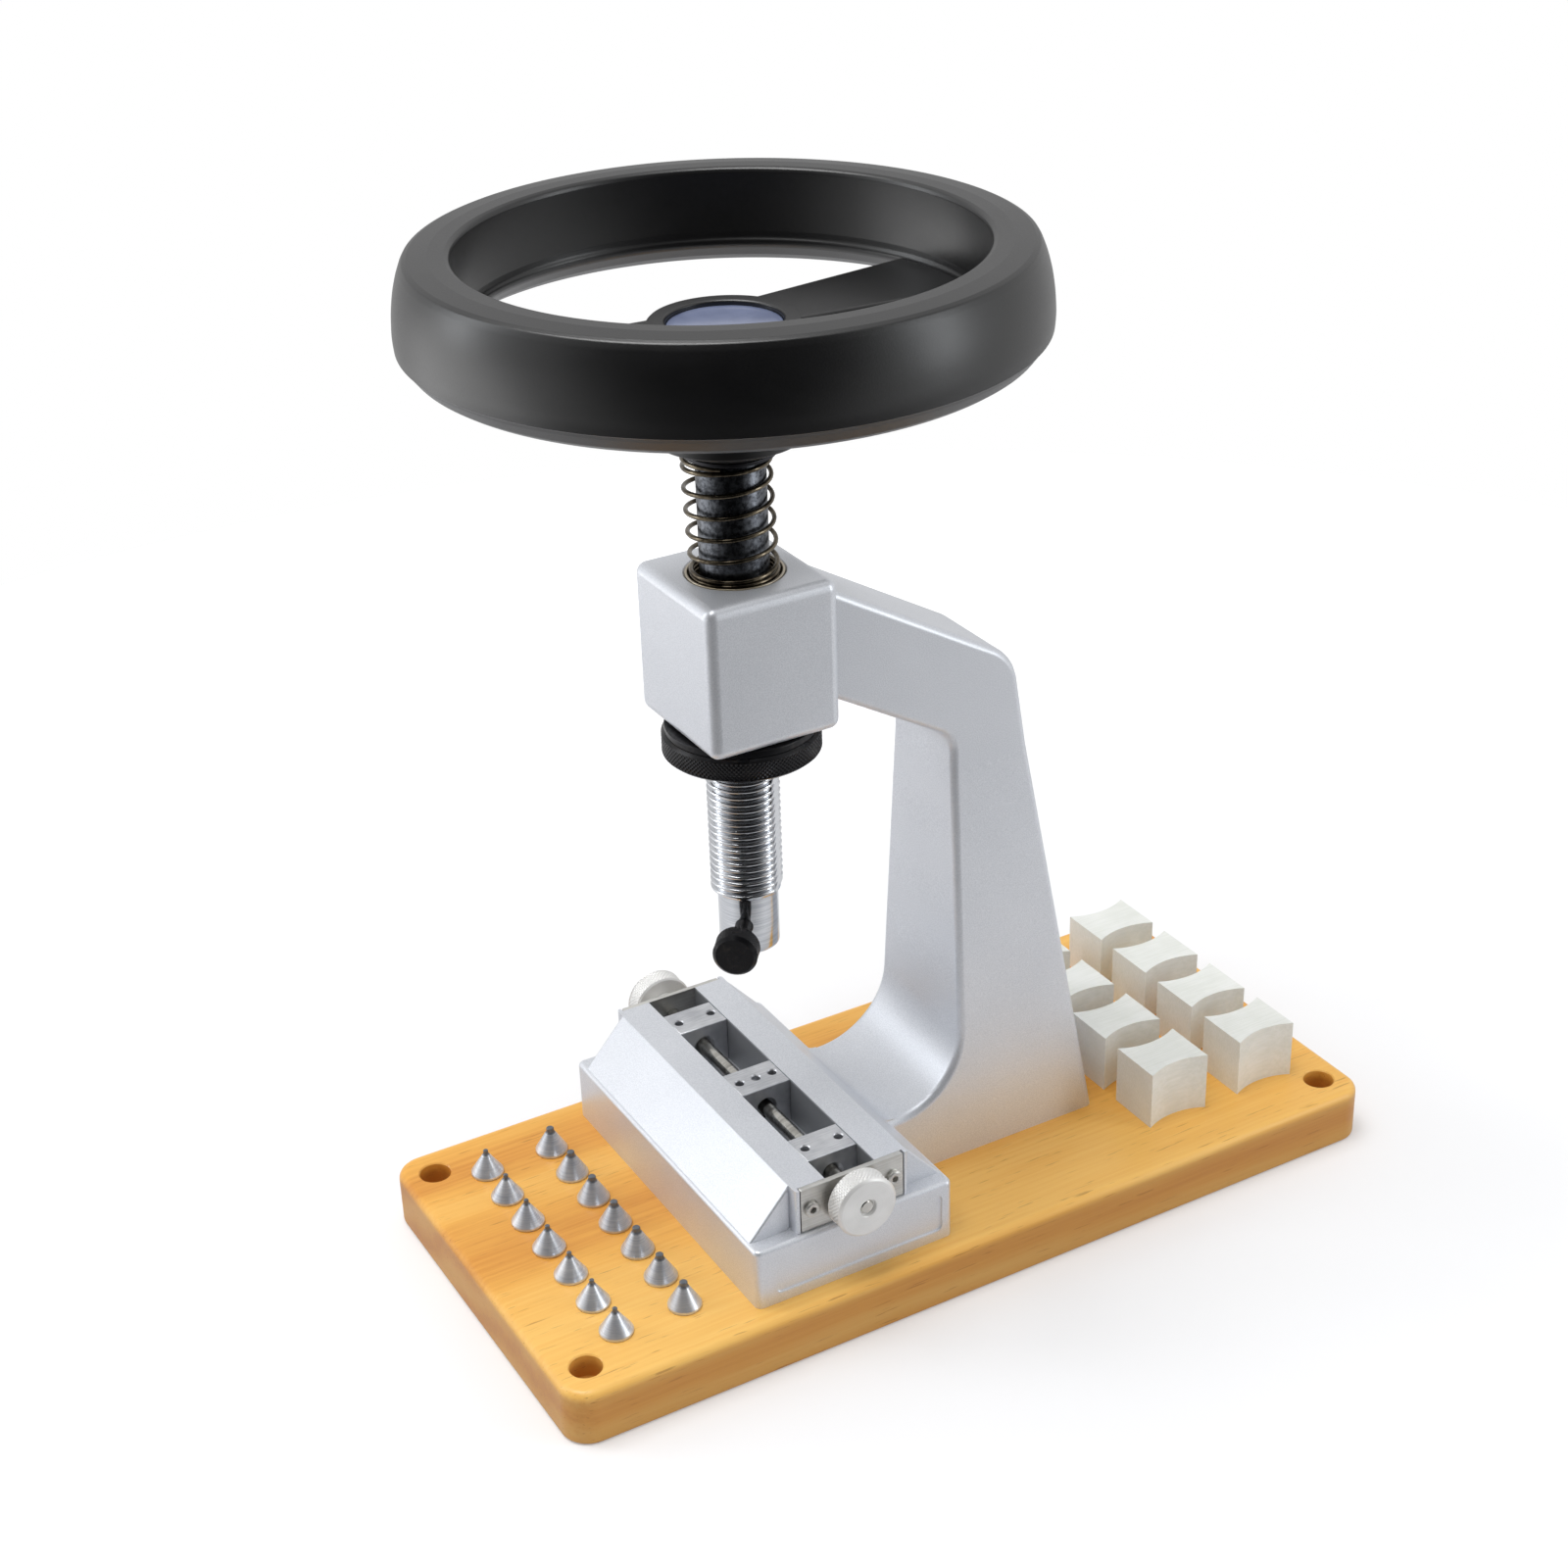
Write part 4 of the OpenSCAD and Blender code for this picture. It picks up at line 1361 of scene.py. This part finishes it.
@dataclass
class Handwheel(SubAssembly):
    """Black wheel with its hub, two spokes and cap."""

    radius: float = 80.0
    rim_w: float = 15.4
    rim_h: float = 26.6
    top: float = 291.1
    hub_r: float = 19.3
    plate: float = 5.5
    spoke_end: float = 9.4
    spoke_half: Flat = (9.1, 16.6)
    direction: float = 92.0

    def rim(self) -> Piece:
        """The rim's section, smoothed and swept round.

        Returns:
            The rim.
        """
        t, b, w = self.top, self.top - self.rim_h, self.radius
        i = w - self.rim_w
        over = softened([(i - 0.1, b + 15.5), (i, t - 1.5), (i + 0.4, t - 0.5), (i + 1.4, t - 0.08),
                         (i + 5.5, t), (w - 5.0, t - 0.4), (w - 3.8, t - 0.9), (w - 3.1, t - 2.1)], 1.0, 4)[1:-1]
        face = curved([(w - 3.1, t - 2.1), (w - 2.0, t - 5.0), (w - 1.05, t - 8.5), (w - 0.42, t - 12.2),
                       (w - 0.08, t - 15.9), (w, t - 18.6), (w - 0.2, t - 21.2)], 4)
        under = softened([(w - 0.2, t - 21.2), (w - 0.62, t - 21.45), (w - 1.3, t - 22.5), (w - 3.2, b + 1.6),
                          (w - 5.2, b + 0.3), (w - 7.0, b), (w - 9.5, b + 0.6), (w - 13.0, b + 2.6),
                          (i - 0.5, b + 5.3), (i - 1.2, b + 6.2), (i - 1.2, b + 7.3), (i - 0.6, b + 8.1),
                          (i - 0.3, b + 9.6), (i - 0.1, b + 15.5)], 2.0, 3)[1:]
        return Piece.turned("rim", [*over, *face, *under, over[0]], (0, AXIS_Y), 192)

    def hub(self) -> Piece:
        """The hub with its bore and the cap's recess.

        Returns:
            The hub.
        """
        r, low, top = self.hub_r, HUB_LOW, HUB_TOP
        points = [(9.02, low), (11.4, low), (r, low + 3.6), (r, top - 0.7), (r - 0.7, top), (14.9, top),
                  (14.5, top - 0.4), (14.5, 268.4), (10.8, 268.4), (10.8, 262.0), (7.02, 262.0),
                  (7.02, low + 2.62), (9.02, low + 2.62)]
        return Piece.turned("hub", softened(points, 0.5, 3, True), (0, AXIS_Y), 128)

    def spokes(self) -> Piece:
        """Both spokes in one plate, cut out around the hub's bore.

        Returns:
            The plate, at its place and turn.
        """
        end = self.radius - self.spoke_end
        near, far = self.spoke_half
        low, top = HUB_TOP - self.plate, HUB_TOP - 0.02
        outline = [(-end, -far), (0, -near), (end, -far), (end, far), (0, near), (-end, far)]
        piece = Piece.outline("wheel", outline, Way.Z, low, top)
        piece.bevel(lambda e: (is_at(e, 2, top) or is_at(e, 2, low)) and not runs(e, 1), 0.9, 4)
        piece.stand(Matrix.Translation((0, AXIS_Y, 0)) @ Matrix.Rotation(math.radians(self.direction), 4, "Z"))
        return piece.combine(drill("t", (0, AXIS_Y), [(17, 250), (17, 280)], 128), "DIFFERENCE")

    def build(self) -> None:
        """Unite rim, hub and spokes, and set the cap."""
        wheel = self.spokes().unite(self.hub(), self.rim())
        self.add(wheel, PLASTIC, "handwheel", smooth=36)
        cap = Piece.turned("cap", [(0, 268.42), (14.2, 268.42), (14.4, 268.62), (14.4, 269.6), (14.28, 269.86),
                                   (14.0, 269.98), (12.4, 270.03), (0, 270.06)], (0, AXIS_Y), 128)
        self.add(cap, CAP, "hub_cap")
        self.keep(ZINC, "hub_nut", "wheel_key")
        # painted shade: the thrust washer is dark for the shadow under the hub
        washer = Piece.turned("washer", softened([(9.05, 236.98), (12, 236.98), (12, 237.98), (9.05, 237.98)],
                                                 0.2, 2, True), (0, AXIS_Y), 96)
        self.add(washer, SHADED, "thrust_washer")


@dataclass
class Spindle(SubAssembly):
    """Threaded spindle with its flat, plain nose and chuck socket."""

    low: float = 95.2
    nose_r: float = 8.2
    nose_top: float = 112.4
    thread_r: float = 10.0
    thread_top: float = 163.5
    pitch: float = 2.0
    depth: float = 1.05
    journal_r: float = 9.0

    def thread(self, angle: np.ndarray, r: np.ndarray, z: np.ndarray) -> np.ndarray:
        """Cut the thread and the flat.

        Args:
            angle: the angle round the axis.
            r: the radius before the cut.
            z: the height.

        Returns:
            The radius.
        """
        phase = (z / self.pitch - angle / (2 * math.pi)) % 1
        groove = (0.5 - 0.5 * np.cos(2 * math.pi * phase)) ** 1.5
        inside = np.clip(np.minimum(z - self.nose_top - 0.6, self.thread_top - z) / 1.2, 0, 1)
        outer = (z > self.nose_top + 0.3) & (z < self.thread_top - 0.01) & (r > self.nose_r)
        cut = np.where(outer, r - self.depth * groove * inside, r)
        face = np.cos(angle - math.radians(FLAT_AZ))
        flat = np.where(face > 0.3, FLAT_AT / np.maximum(face, 0.3), 99.0)
        return np.where(outer, np.minimum(cut, flat), r)

    def build(self) -> None:
        """Turn the spindle in one piece from its socket to its end."""
        low, top, nose, journal = self.low, self.thread_top, self.nose_top, self.journal_r
        count = int(round((top - nose - 0.9) / self.pitch * 11))
        rows = [(self.thread_r, nose + 0.9 + (top - nose - 0.9) * i / count) for i in range(count + 1)]
        profile = [(0, low + 14), (3.9, low + 14), (4, low + 13.9), (4, low + 0.5), (4.5, low), (7.3, low),
                   (7.75, low + 0.13), (8.08, low + 0.45), (8.2, low + 0.9), (8.2, low + 8), (8.2, nose),
                   (9.0, nose + 0.15), (9.6, nose + 0.5), *rows, (9.4, top + 0.5), (journal, top + 0.9),
                   (journal, HEAD_TOP), (journal, 240.4), (8.8, 240.6), (7, 240.6), (7, 262), (6, 262), (6, 267.6),
                   (5.6, 268), (0, 268)]
        spindle = Piece.turned("spindle_bar", profile, (0, AXIS_Y), 144, self.thread)
        spindle.cut([drill("t", (0, 0), [(2.5, 2), (2.5, 12)], 32).stand(along_lock())])
        self.add(spindle, STEEL, "spindle", smooth=50, even=False)


@dataclass
class StopNut(SubAssembly):
    """Knurled nut on the spindle's thread with its keyed washer."""

    nut_r: float = 21.2
    low: float = 154.45
    high: float = 160.95

    def build(self) -> None:
        """Turn the nut with its knurl, and the washer with its flat."""
        r, a, b = self.nut_r, self.low, self.high
        band = [(r, a + 0.75 + (b - a - 1.55) * i / 24) for i in range(25)]
        profile = [(10.08, a + 0.6), (10.6, a), (r - 0.9, a), *band, (r - 0.2, b - 0.62), (r - 0.95, b), (10.6, b),
                   (10.08, b - 0.6), (10.08, a + 0.6)]
        nut = Piece.turned("height_nut", profile, (0, AXIS_Y), 660, knurl(110, r, a + 0.7, b - 0.7, 0.3))
        self.add(nut, BLACK, "ring_nut", smooth=28, even=False)

        def keyed(angle: np.ndarray, rr: np.ndarray, z: np.ndarray) -> np.ndarray:
            """Flat on the bore."""
            face = np.maximum(np.cos(angle - math.radians(FLAT_AZ)), 0.3)
            return np.where(rr < 11, np.minimum(rr, (FLAT_AT + 0.06) / face), rr)
        ring = softened([(10.08, 161.0), (20.3, 161.0), (20.3, 162.9), (10.08, 162.9)], 0.3, 3, True)
        self.add(Piece.turned("key_washer", ring, (0, AXIS_Y), 192, keyed), BLACK, "stop_washer")


@dataclass
class LockScrew(SubAssembly):
    """Thumb screw with its pad."""

    knob_in: float = 17.6
    knob_out: float = 23.8
    knob_r: float = 6.05

    def build(self) -> None:
        """Turn the knob with its knurl, the screw and the pad."""
        r, a, b = self.knob_r, self.knob_in, self.knob_out
        band = [(r, a + 0.6 + (b - a - 1.5) * i / 44) for i in range(45)]
        profile = [(2.47, a + 0.3), (2.8, a), (r - 0.6, a), *band, (r - 0.55, b - 0.35), (r - 0.9, b), (0, b),
                   (0, b - 2.4), (2.47, b - 2.4), (2.47, a + 0.3)]
        knob = Piece.turned("thumb_knob", profile, columns=240, shape=knurl(40, r, a + 0.6, b - 0.9, 0.28))
        self.add(knob.stand(along_lock()), BLACK, "lock_knob", smooth=28, even=False)

        def thread(angle: np.ndarray, rr: np.ndarray, z: np.ndarray) -> np.ndarray:
            """Fine thread on the bared screw."""
            wave = 0.5 - 0.5 * np.cos(2 * math.pi * (z / 0.8 - angle / (2 * math.pi)))
            return np.where((rr > 2.3) & (z > 5.8) & (z < 20.6), rr - 0.28 * wave, rr)
        rows = [(2.45, 5.5 + 15.4 * i / 140) for i in range(141)]
        profile = [(0, 5.2), (2.1, 5.2), *rows, (2.2, 21.3), (0, 21.3)]
        screw = Piece.turned("thumb_screw", profile, columns=40, shape=thread)
        self.add(screw.stand(along_lock()), BLACK, "lock_screw", smooth=40, even=False)
        pad = pin("pad", 2.4, 4.15, 5.15, ease=0.15)
        self.add(pad.stand(along_lock()), BRASS, "lock_pad")


@dataclass
class ReturnSpring(SubAssembly):
    """Open coil spring between the head and the hub."""

    mean: float = 11.1
    wire: float = 1.25
    start: float = 202.6
    end: float = 236.38
    low_turns: float = 3.0
    open_turns: float = 4.9
    top_turns: float = 1.0
    closed_pitch: float = 1.25
    lean: float = 1.0
    travel: float = 20.0

    def turns(self) -> float:
        """All its turns."""
        return self.low_turns + self.open_turns + self.top_turns

    def height(self, turn: float) -> float:
        """Height of the centre line.

        Args:
            turn: the turns from its lower end.

        Returns:
            The height.
        """
        pitch = (self.end - self.start - (self.low_turns + self.top_turns) * self.closed_pitch) / self.open_turns
        if turn < self.low_turns:
            return self.start + turn * self.closed_pitch
        if turn < self.low_turns + self.open_turns:
            return self.start + self.low_turns * self.closed_pitch + (turn - self.low_turns) * pitch
        return self.end - (self.turns() - turn) * self.closed_pitch

    def build(self) -> None:
        """Lay a rolled grid along the coil."""
        turns = self.turns()
        steps, sides = int(turns * 48), 14
        settle()
        bpy.ops.mesh.primitive_grid_add(x_subdivisions=sides, y_subdivisions=steps + 2, size=1)
        coil = Piece("coil")
        for vertex in coil.obj.data.vertices:
            around = 2 * math.pi * (round((vertex.co.x + 0.5) * sides) % sides) / sides
            row = round((vertex.co.y + 0.5) * (steps + 2))
            thick = 0.0 if row in (0, steps + 2) else self.wire / 2
            turn = turns * min(max(row - 1, 0), steps) / steps
            angle = 2 * math.pi * turn
            out = self.mean + thick * math.cos(around)
            height = self.height(turn)
            bow = self.lean * min(max((height - HEAD_TOP) / 24, 0), 1)
            vertex.co = (out * math.cos(angle) - 0.49 * bow, AXIS_Y + out * math.sin(angle) - 0.87 * bow,
                         height + thick * math.sin(around))
        self.add(coil.heal(), SPRING, "return_spring", smooth=60, even=False)

    def dress(self) -> None:
        """Dress the coil, and give it a mesh of its own."""
        super().dress()
        coil = self.made[0].piece.obj
        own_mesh(coil)


@dataclass
class Vise(SubAssembly):
    """Slides, screw, knobs and end plates of the self-centring vise."""

    jaw_at: float = 36.4
    jaw_l: float = 11.0
    plate_t: float = 1.5
    peg_r: float = 1.25
    knob_r: float = 9.0
    knob_l: float = 6.4
    knob_at: tuple[float, float] = (54.15, 56.75)

    def jaw(self, name: str, centre: float, length: float, middle: bool) -> Piece:
        """A jaw, or the fixed block, with its holes.

        Args:
            name: the piece's name.
            centre: its middle along the screw.
            length: its length along the screw.
            middle: whether it is the fixed block.

        Returns:
            The drilled piece.
        """
        gap = 0.02 if middle else 0.05
        y, top, half = AXIS_Y, VISE_TOP - 0.1, SLOT_HALF - gap
        body = Piece.block(name, (centre - length / 2, y - half, LOW_TOP + gap), (centre + length / 2, y + half, top))
        body.bevel(lambda e: is_at(e, 2, top), 0.45, 3)
        body.bevel(lambda e: runs(e, 2), 0.25, 2)
        mouth = [(self.peg_r, top - 0.3), (1.7, top + 0.15)]
        tools = [drill("t", (centre, y + j * PEG_AT), [(self.peg_r, top - 7.5), *mouth], 32) for j in (-1, 1)]
        bore, wide = (3.0, 3.2) if middle else (2.05, 3.3)
        ends = [(wide, -20), (wide, -length / 2), (bore, -length / 2 + 1.2), (bore, length / 2 - 1.2),
                (wide, length / 2), (wide, 20)]
        body.combine(drill("t", (0, 0), ends, 48).stand(along_x((centre, y, SCREW_Z))), "DIFFERENCE")
        body.cut(tools)
        if middle:
            body.cut([drill("t", (0, y), [(self.peg_r, 46.4), *mouth], 32),
                      *[drill("t", (0, y + j * BLOCK_SCREW_AT), [(1.5, 34), (1.5, 40.5)], 24) for j in (-1, 1)]])
        return body

    def plate(self, side: int) -> Piece:
        """Thin plate on one end of the slot.

        Args:
            side: -1 for the left end, 1 for the right.

        Returns:
            The drilled plate.
        """
        outer = side * (PLATE_IN + self.plate_t)
        x0, x1 = sorted((side * PLATE_IN, outer))
        plate = Piece.block("slot_plate", (x0, AXIS_Y - 16, LOW_TOP + 0.1), (x1, AXIS_Y + 16, VISE_TOP - 0.1))
        plate.bevel(lambda e: runs(e, 0), 0.5, 3)
        plate.bevel(lambda e: is_at(e, 0, outer), 0.22, 2)
        tools = [drill("t", (0, 0), [(r, -4), (r, 4)], 32).stand(along_x((side * 51.65, AXIS_Y + dy, SCREW_Z)))
                 for r, dy in ((2.05, 0.0), (1.4, PLATE_SCREW_AT), (1.4, -PLATE_SCREW_AT))]
        return plate.cut(tools)

    def knob(self, side: int) -> Piece:
        """Knurled knob on one end of the screw.

        Args:
            side: -1 for the left end, 1 for the right.

        Returns:
            The knob.
        """
        r, length, at = self.knob_r, self.knob_l, self.knob_at[side < 0]
        neck = 52.55 - at
        band = [(r, 0.5 + (length - 1.3) * i / 36) for i in range(37)]
        profile = [(2.02, neck + 0.1), (2.3, neck), (3.9, neck), (4.2, neck + 0.3), (4.2, 0), (r - 0.5, 0), *band,
                   (r - 0.25, length - 0.45), (r - 0.75, length - 0.05), (r - 0.95, length), (2.75, length),
                   (2.55, length - 0.15), (2.5, length - 0.9), (2.02, length - 0.9), (2.02, neck + 0.1)]
        knob = Piece.turned("vise_knob", profile, columns=276, shape=knurl(46, r, 0.5, length - 0.8, 0.26))
        return knob.stand(along_x((side * at, AXIS_Y, SCREW_Z), side))

    def build(self) -> None:
        """Build both sides, the screw, the jaws and the fixed block."""
        for side, word in ((-1, "left"), (1, "right")):
            self.add(self.plate(side), PLATE, "end_plate_" + word)
            self.add(self.knob(side), KNOB, "vise_knob_" + word, smooth=28, even=False)
            self.add(self.jaw("slide_" + word, side * self.jaw_at, self.jaw_l, False), JAW, "jaw_" + word)
        screws = [hex_screw("plate_screw_set", 2.3, 1.2, 1.22, 7.5, 1.05, 1.1).stand(
            along_x((side * TONGUE_END, AXIS_Y + j * PLATE_SCREW_AT, SCREW_Z), side))
            for side in (-1, 1) for j in (-1, 1)]
        self.add(screws[0].gather(screws[1:]), PLATE, "plate_screws")
        self.add(self.jaw("fixed_block", 0.0, 11.6, True), JAW, "centre_block")
        bar = pin("vise_bar", 2.0, -62.65, 60.05, ease=0.35, columns=64)
        self.add(bar.stand(along_x((0, AXIS_Y, SCREW_Z))), SCREW, "vise_screw")
        hidden = [hex_screw("block_screws", 2.75, 4.0, 1.48, 15.3, 1.5, 2.0).stand(
            upside_down((0, AXIS_Y + j * BLOCK_SCREW_AT, 25))) for j in (-1, 1)]
        self.add(hidden[0].gather(hidden[1:]), ZINC, "centre_block_screws")


@dataclass
class HolderBlocks(SubAssembly):
    """Eight nylon blocks on steel pins."""

    size: Point = (17.0, 20.0, 18.3)
    hollow: float = 2.5
    gaps: Flat = (23.0, 32.0)
    near: float = 74.8

    def places(self) -> list[Flat]:
        """Where the blocks stand."""
        return [((k % 4 - 1.5) * self.gaps[0], self.near + (k // 4) * self.gaps[1]) for k in range(8)]

    def build(self) -> None:
        """Make one block and one pair of pins, and copy them."""
        x, y, h = self.size[0] / 2, self.size[1] / 2, self.size[2]
        block = Piece.block("holder", (-x, -y, BOARD_TOP), (x, y, BOARD_TOP + h))
        deep = (y * y + self.hollow ** 2) / (2 * self.hollow)
        for side in (-1, 1):
            block.cut([drill("t", (side * (x - self.hollow + deep), 0), [(deep, 10), (deep, 50)], 160)])
        block.soften(0.35, 2, 30)
        block.cut([drill("t", (0, j * PEG_AT), [(1.22, 16), (1.22, 22.1)], 24) for j in (-1, 1)])
        first, second = (pin("pins", 1.2, 10, 22, (0, j * PEG_AT), 0.25, 32) for j in (1, -1))
        pins = first.gather([second])
        for k, (px, py) in enumerate(self.places()):
            move = Matrix.Translation((px, py, 0))
            self.add(block.copy(f"nylon_{k + 1}", move), NYLON, f"holder_block_{k + 1}")
            self.add(pins.copy(f"pin_pair_{k + 1}", move), ZINC, f"block_pins_{k + 1}")
        for spare in (block, pins):
            bpy.data.objects.remove(spare.obj)


@dataclass
class Bits(SubAssembly):
    """Fourteen small conical bits in two rows."""

    pitch: float = 13.8
    rows: Flat = (-109.5, -89.0)

    def places(self) -> list[Flat]:
        """Where the bits stand."""
        return [((k % 7 - 3) * self.pitch, self.rows[k // 7]) for k in range(14)]

    def build(self) -> None:
        """Turn one bit for each row and copy it."""
        z = BOARD_TOP
        for row, tip in enumerate((0.7, 1.1)):
            profile = [(0, z - 9), (1.4, z - 9), (1.6, z - 8.7), (1.6, z), (4.4, z), (4.62, z + 0.1),
                       (4.7, z + 0.3), (4.7, z + 0.85), (4.6, z + 1.05), (tip + 0.32, z + 6.45),
                       (tip + 0.1, z + 6.55), (tip, z + 6.7), (tip, z + 7.8), (tip - 0.2, z + 8), (0, z + 8)]
            bit = Piece.turned("bit", profile, columns=56)
            for k, (px, py) in list(enumerate(self.places()))[row * 7:row * 7 + 7]:
                cone = bit.copy(f"cone_{k + 1}", Matrix.Translation((px, py, 0)))
                self.add(cone, BIT, f"bit_{k + 1}", smooth=40)
            bpy.data.objects.remove(bit.obj)


# ---------------------------------------------------------------------------------------------
# the studio


@dataclass(frozen=True)
class Lamp:
    """A soft lamp: the light that a white surface facing it gives back is its level."""

    name: str
    towards: Point
    distance: float
    size: Flat
    level: float
    colour: Point = (1.0, 1.0, 1.0)

    def hang(self, middle: Vector) -> None:
        """Hang the lamp.

        Args:
            middle: the point that it faces.
        """
        data = bpy.data.lights.new(self.name, "AREA")
        data.shape = "RECTANGLE"
        data.size, data.size_y = self.size
        data.color = self.colour
        data.energy = self.level * math.pi ** 2 * self.distance ** 2
        lamp = bpy.data.objects.new(self.name, data)
        out = Vector(self.towards).normalized()
        lamp.location = middle + out * self.distance
        lamp.rotation_euler = out.to_track_quat("Z", "Y").to_euler()
        bpy.context.scene.collection.objects.link(lamp)


@dataclass
class Studio:
    """Pale floor, soft light and the camera."""

    place: Point = (0.5403, -0.3305, 0.4685)
    azimuth: float = 60.94
    elevation: float = 28.01
    roll: float = -1.90
    lens: float = 59.98
    floor_r: float = 0.6
    middle: Point = (0.0, 0.0, 0.12)
    lamps: tuple[Lamp, ...] = (
        Lamp("key", (-0.52, -0.72, 0.42), 1.3, (0.3, 0.8), 0.18, (0.93, 0.965, 1.0)),
        Lamp("over", (-0.06, -0.24, 1.0), 1.3, (0.8, 0.8), 0.77),
        Lamp("side", (0.66, 0.7, 0.3), 1.4, (0.34, 1.0), 0.22, (0.93, 0.97, 1.0)),
    )

    def camera(self) -> None:
        """Set the camera at the photograph's place."""
        az, el, roll = (math.radians(a) for a in (self.azimuth, self.elevation, self.roll))
        back = Vector((math.sin(az) * math.cos(el), -math.cos(az) * math.cos(el), math.sin(el)))
        right = Vector((math.cos(az), math.sin(az), 0))
        up = back.cross(right)
        side = right * math.cos(roll) + up * math.sin(roll)
        rise = up * math.cos(roll) - right * math.sin(roll)
        turn = Matrix((side, rise, back)).transposed().to_4x4()
        data = bpy.data.cameras.new("camera")
        data.lens = self.lens
        data.sensor_width = 36.0
        data.clip_start = 0.01
        camera = bpy.data.objects.new("camera", data)
        camera.matrix_world = Matrix.Translation(self.place) @ turn
        bpy.context.scene.collection.objects.link(camera)
        bpy.context.scene.camera = camera

    def world(self) -> None:
        """White where it is seen, softer where it lights; gloss mirrors a dark opening and a bright card."""
        world = bpy.data.worlds.new("studio")
        world.use_nodes = True
        bpy.context.scene.world = world
        shader = Shader("studio", world.node_tree)
        ray = shader.node("ShaderNodeLightPath")
        seen = shader.out(ray, "Is Camera Ray").maths(
            "MAXIMUM", shader.out(ray, "Is Camera Ray"), shader.out(ray, "Is Transmission Ray"))
        mirrored = shader.out(ray, "Is Glossy Ray")
        way = shader.out(shader.node("ShaderNodeTexCoord"), "Generated")

        def facing(direction: Point) -> Line:
            """How far a ray points in a direction."""
            return shader.out(shader.node("ShaderNodeVectorMath", {"operation": "DOT_PRODUCT"},
                                          {0: way, 1: Vector(direction).normalized()}), "Value")

        opening = facing((0.82, -0.45, 0.35)).step(0.38, 0.8)
        card = facing((-0.56, -0.69, -0.4)).step(0.8, 0.97)
        level = seen + (1 - seen) * (mirrored * (0.72 - 0.7 * opening + 1.5 * card) + (1 - mirrored) * 0.47)
        back = shader.node("ShaderNodeBackground", inputs={"Color": (1, 1, 1, 1), "Strength": level})
        shader.node("ShaderNodeOutputWorld", inputs={"Surface": shader.out(back)})

    def floor(self) -> None:
        """Pale floor that keeps the shadow and runs into the white; gloss sees it dark towards the camera."""
        settle()
        bpy.ops.mesh.primitive_circle_add(vertices=128, radius=self.floor_r, fill_type="NGON")
        floor = bpy.context.active_object
        floor.name = "floor"
        shader = Shader("pale_floor")
        x, y, _ = shader.axes(shader.place())
        far = ((x * x + y * y) ** 0.5).step(0.16, 0.56)
        ray = shader.node("ShaderNodeLightPath")
        flagged = shader.out(ray, "Is Glossy Ray") * (x * 0.87 - y * 0.49).step(0.09, 0.32)
        cloth = shader.node("ShaderNodeBsdfDiffuse", inputs={"Color": (0.7, 0.7, 0.71, 1)})
        flag = shader.node("ShaderNodeBsdfDiffuse", inputs={"Color": (0.03, 0.03, 0.03, 1)})
        ground = shader.node("ShaderNodeMixShader", inputs={0: flagged, 1: shader.out(cloth), 2: shader.out(flag)})
        glow = shader.node("ShaderNodeEmission", inputs={"Color": (1, 1, 1, 1), "Strength": 0.26 + far * 0.34})
        both = shader.node("ShaderNodeAddShader", inputs={0: shader.out(ground), 1: shader.out(glow)})
        seen = shader.out(ray, "Is Camera Ray")
        mix = shader.node("ShaderNodeMixShader", inputs={0: seen, 1: shader.out(ground), 2: shader.out(both)})
        shader.node("ShaderNodeOutputMaterial", inputs={"Surface": shader.out(mix)})
        floor.data.materials.append(shader.material)

    def build(self) -> None:
        """Set the whole studio."""
        bpy.context.scene.view_settings.view_transform = "Standard"
        self.camera()
        self.world()
        self.floor()
        for lamp in self.lamps:
            lamp.hang(Vector(self.middle))


def main() -> None:
    """Build and dress every sub-assembly, then the studio."""
    for part in (WoodenBase(), Casting(), Handwheel(), Spindle(), StopNut(), LockScrew(), ReturnSpring(), Vise(),
                 HolderBlocks(), Bits()):
        log.info("building %s", type(part).__name__)
        part.build()
        part.dress()
    Studio().build()


if __name__ == "__main__":
    main()
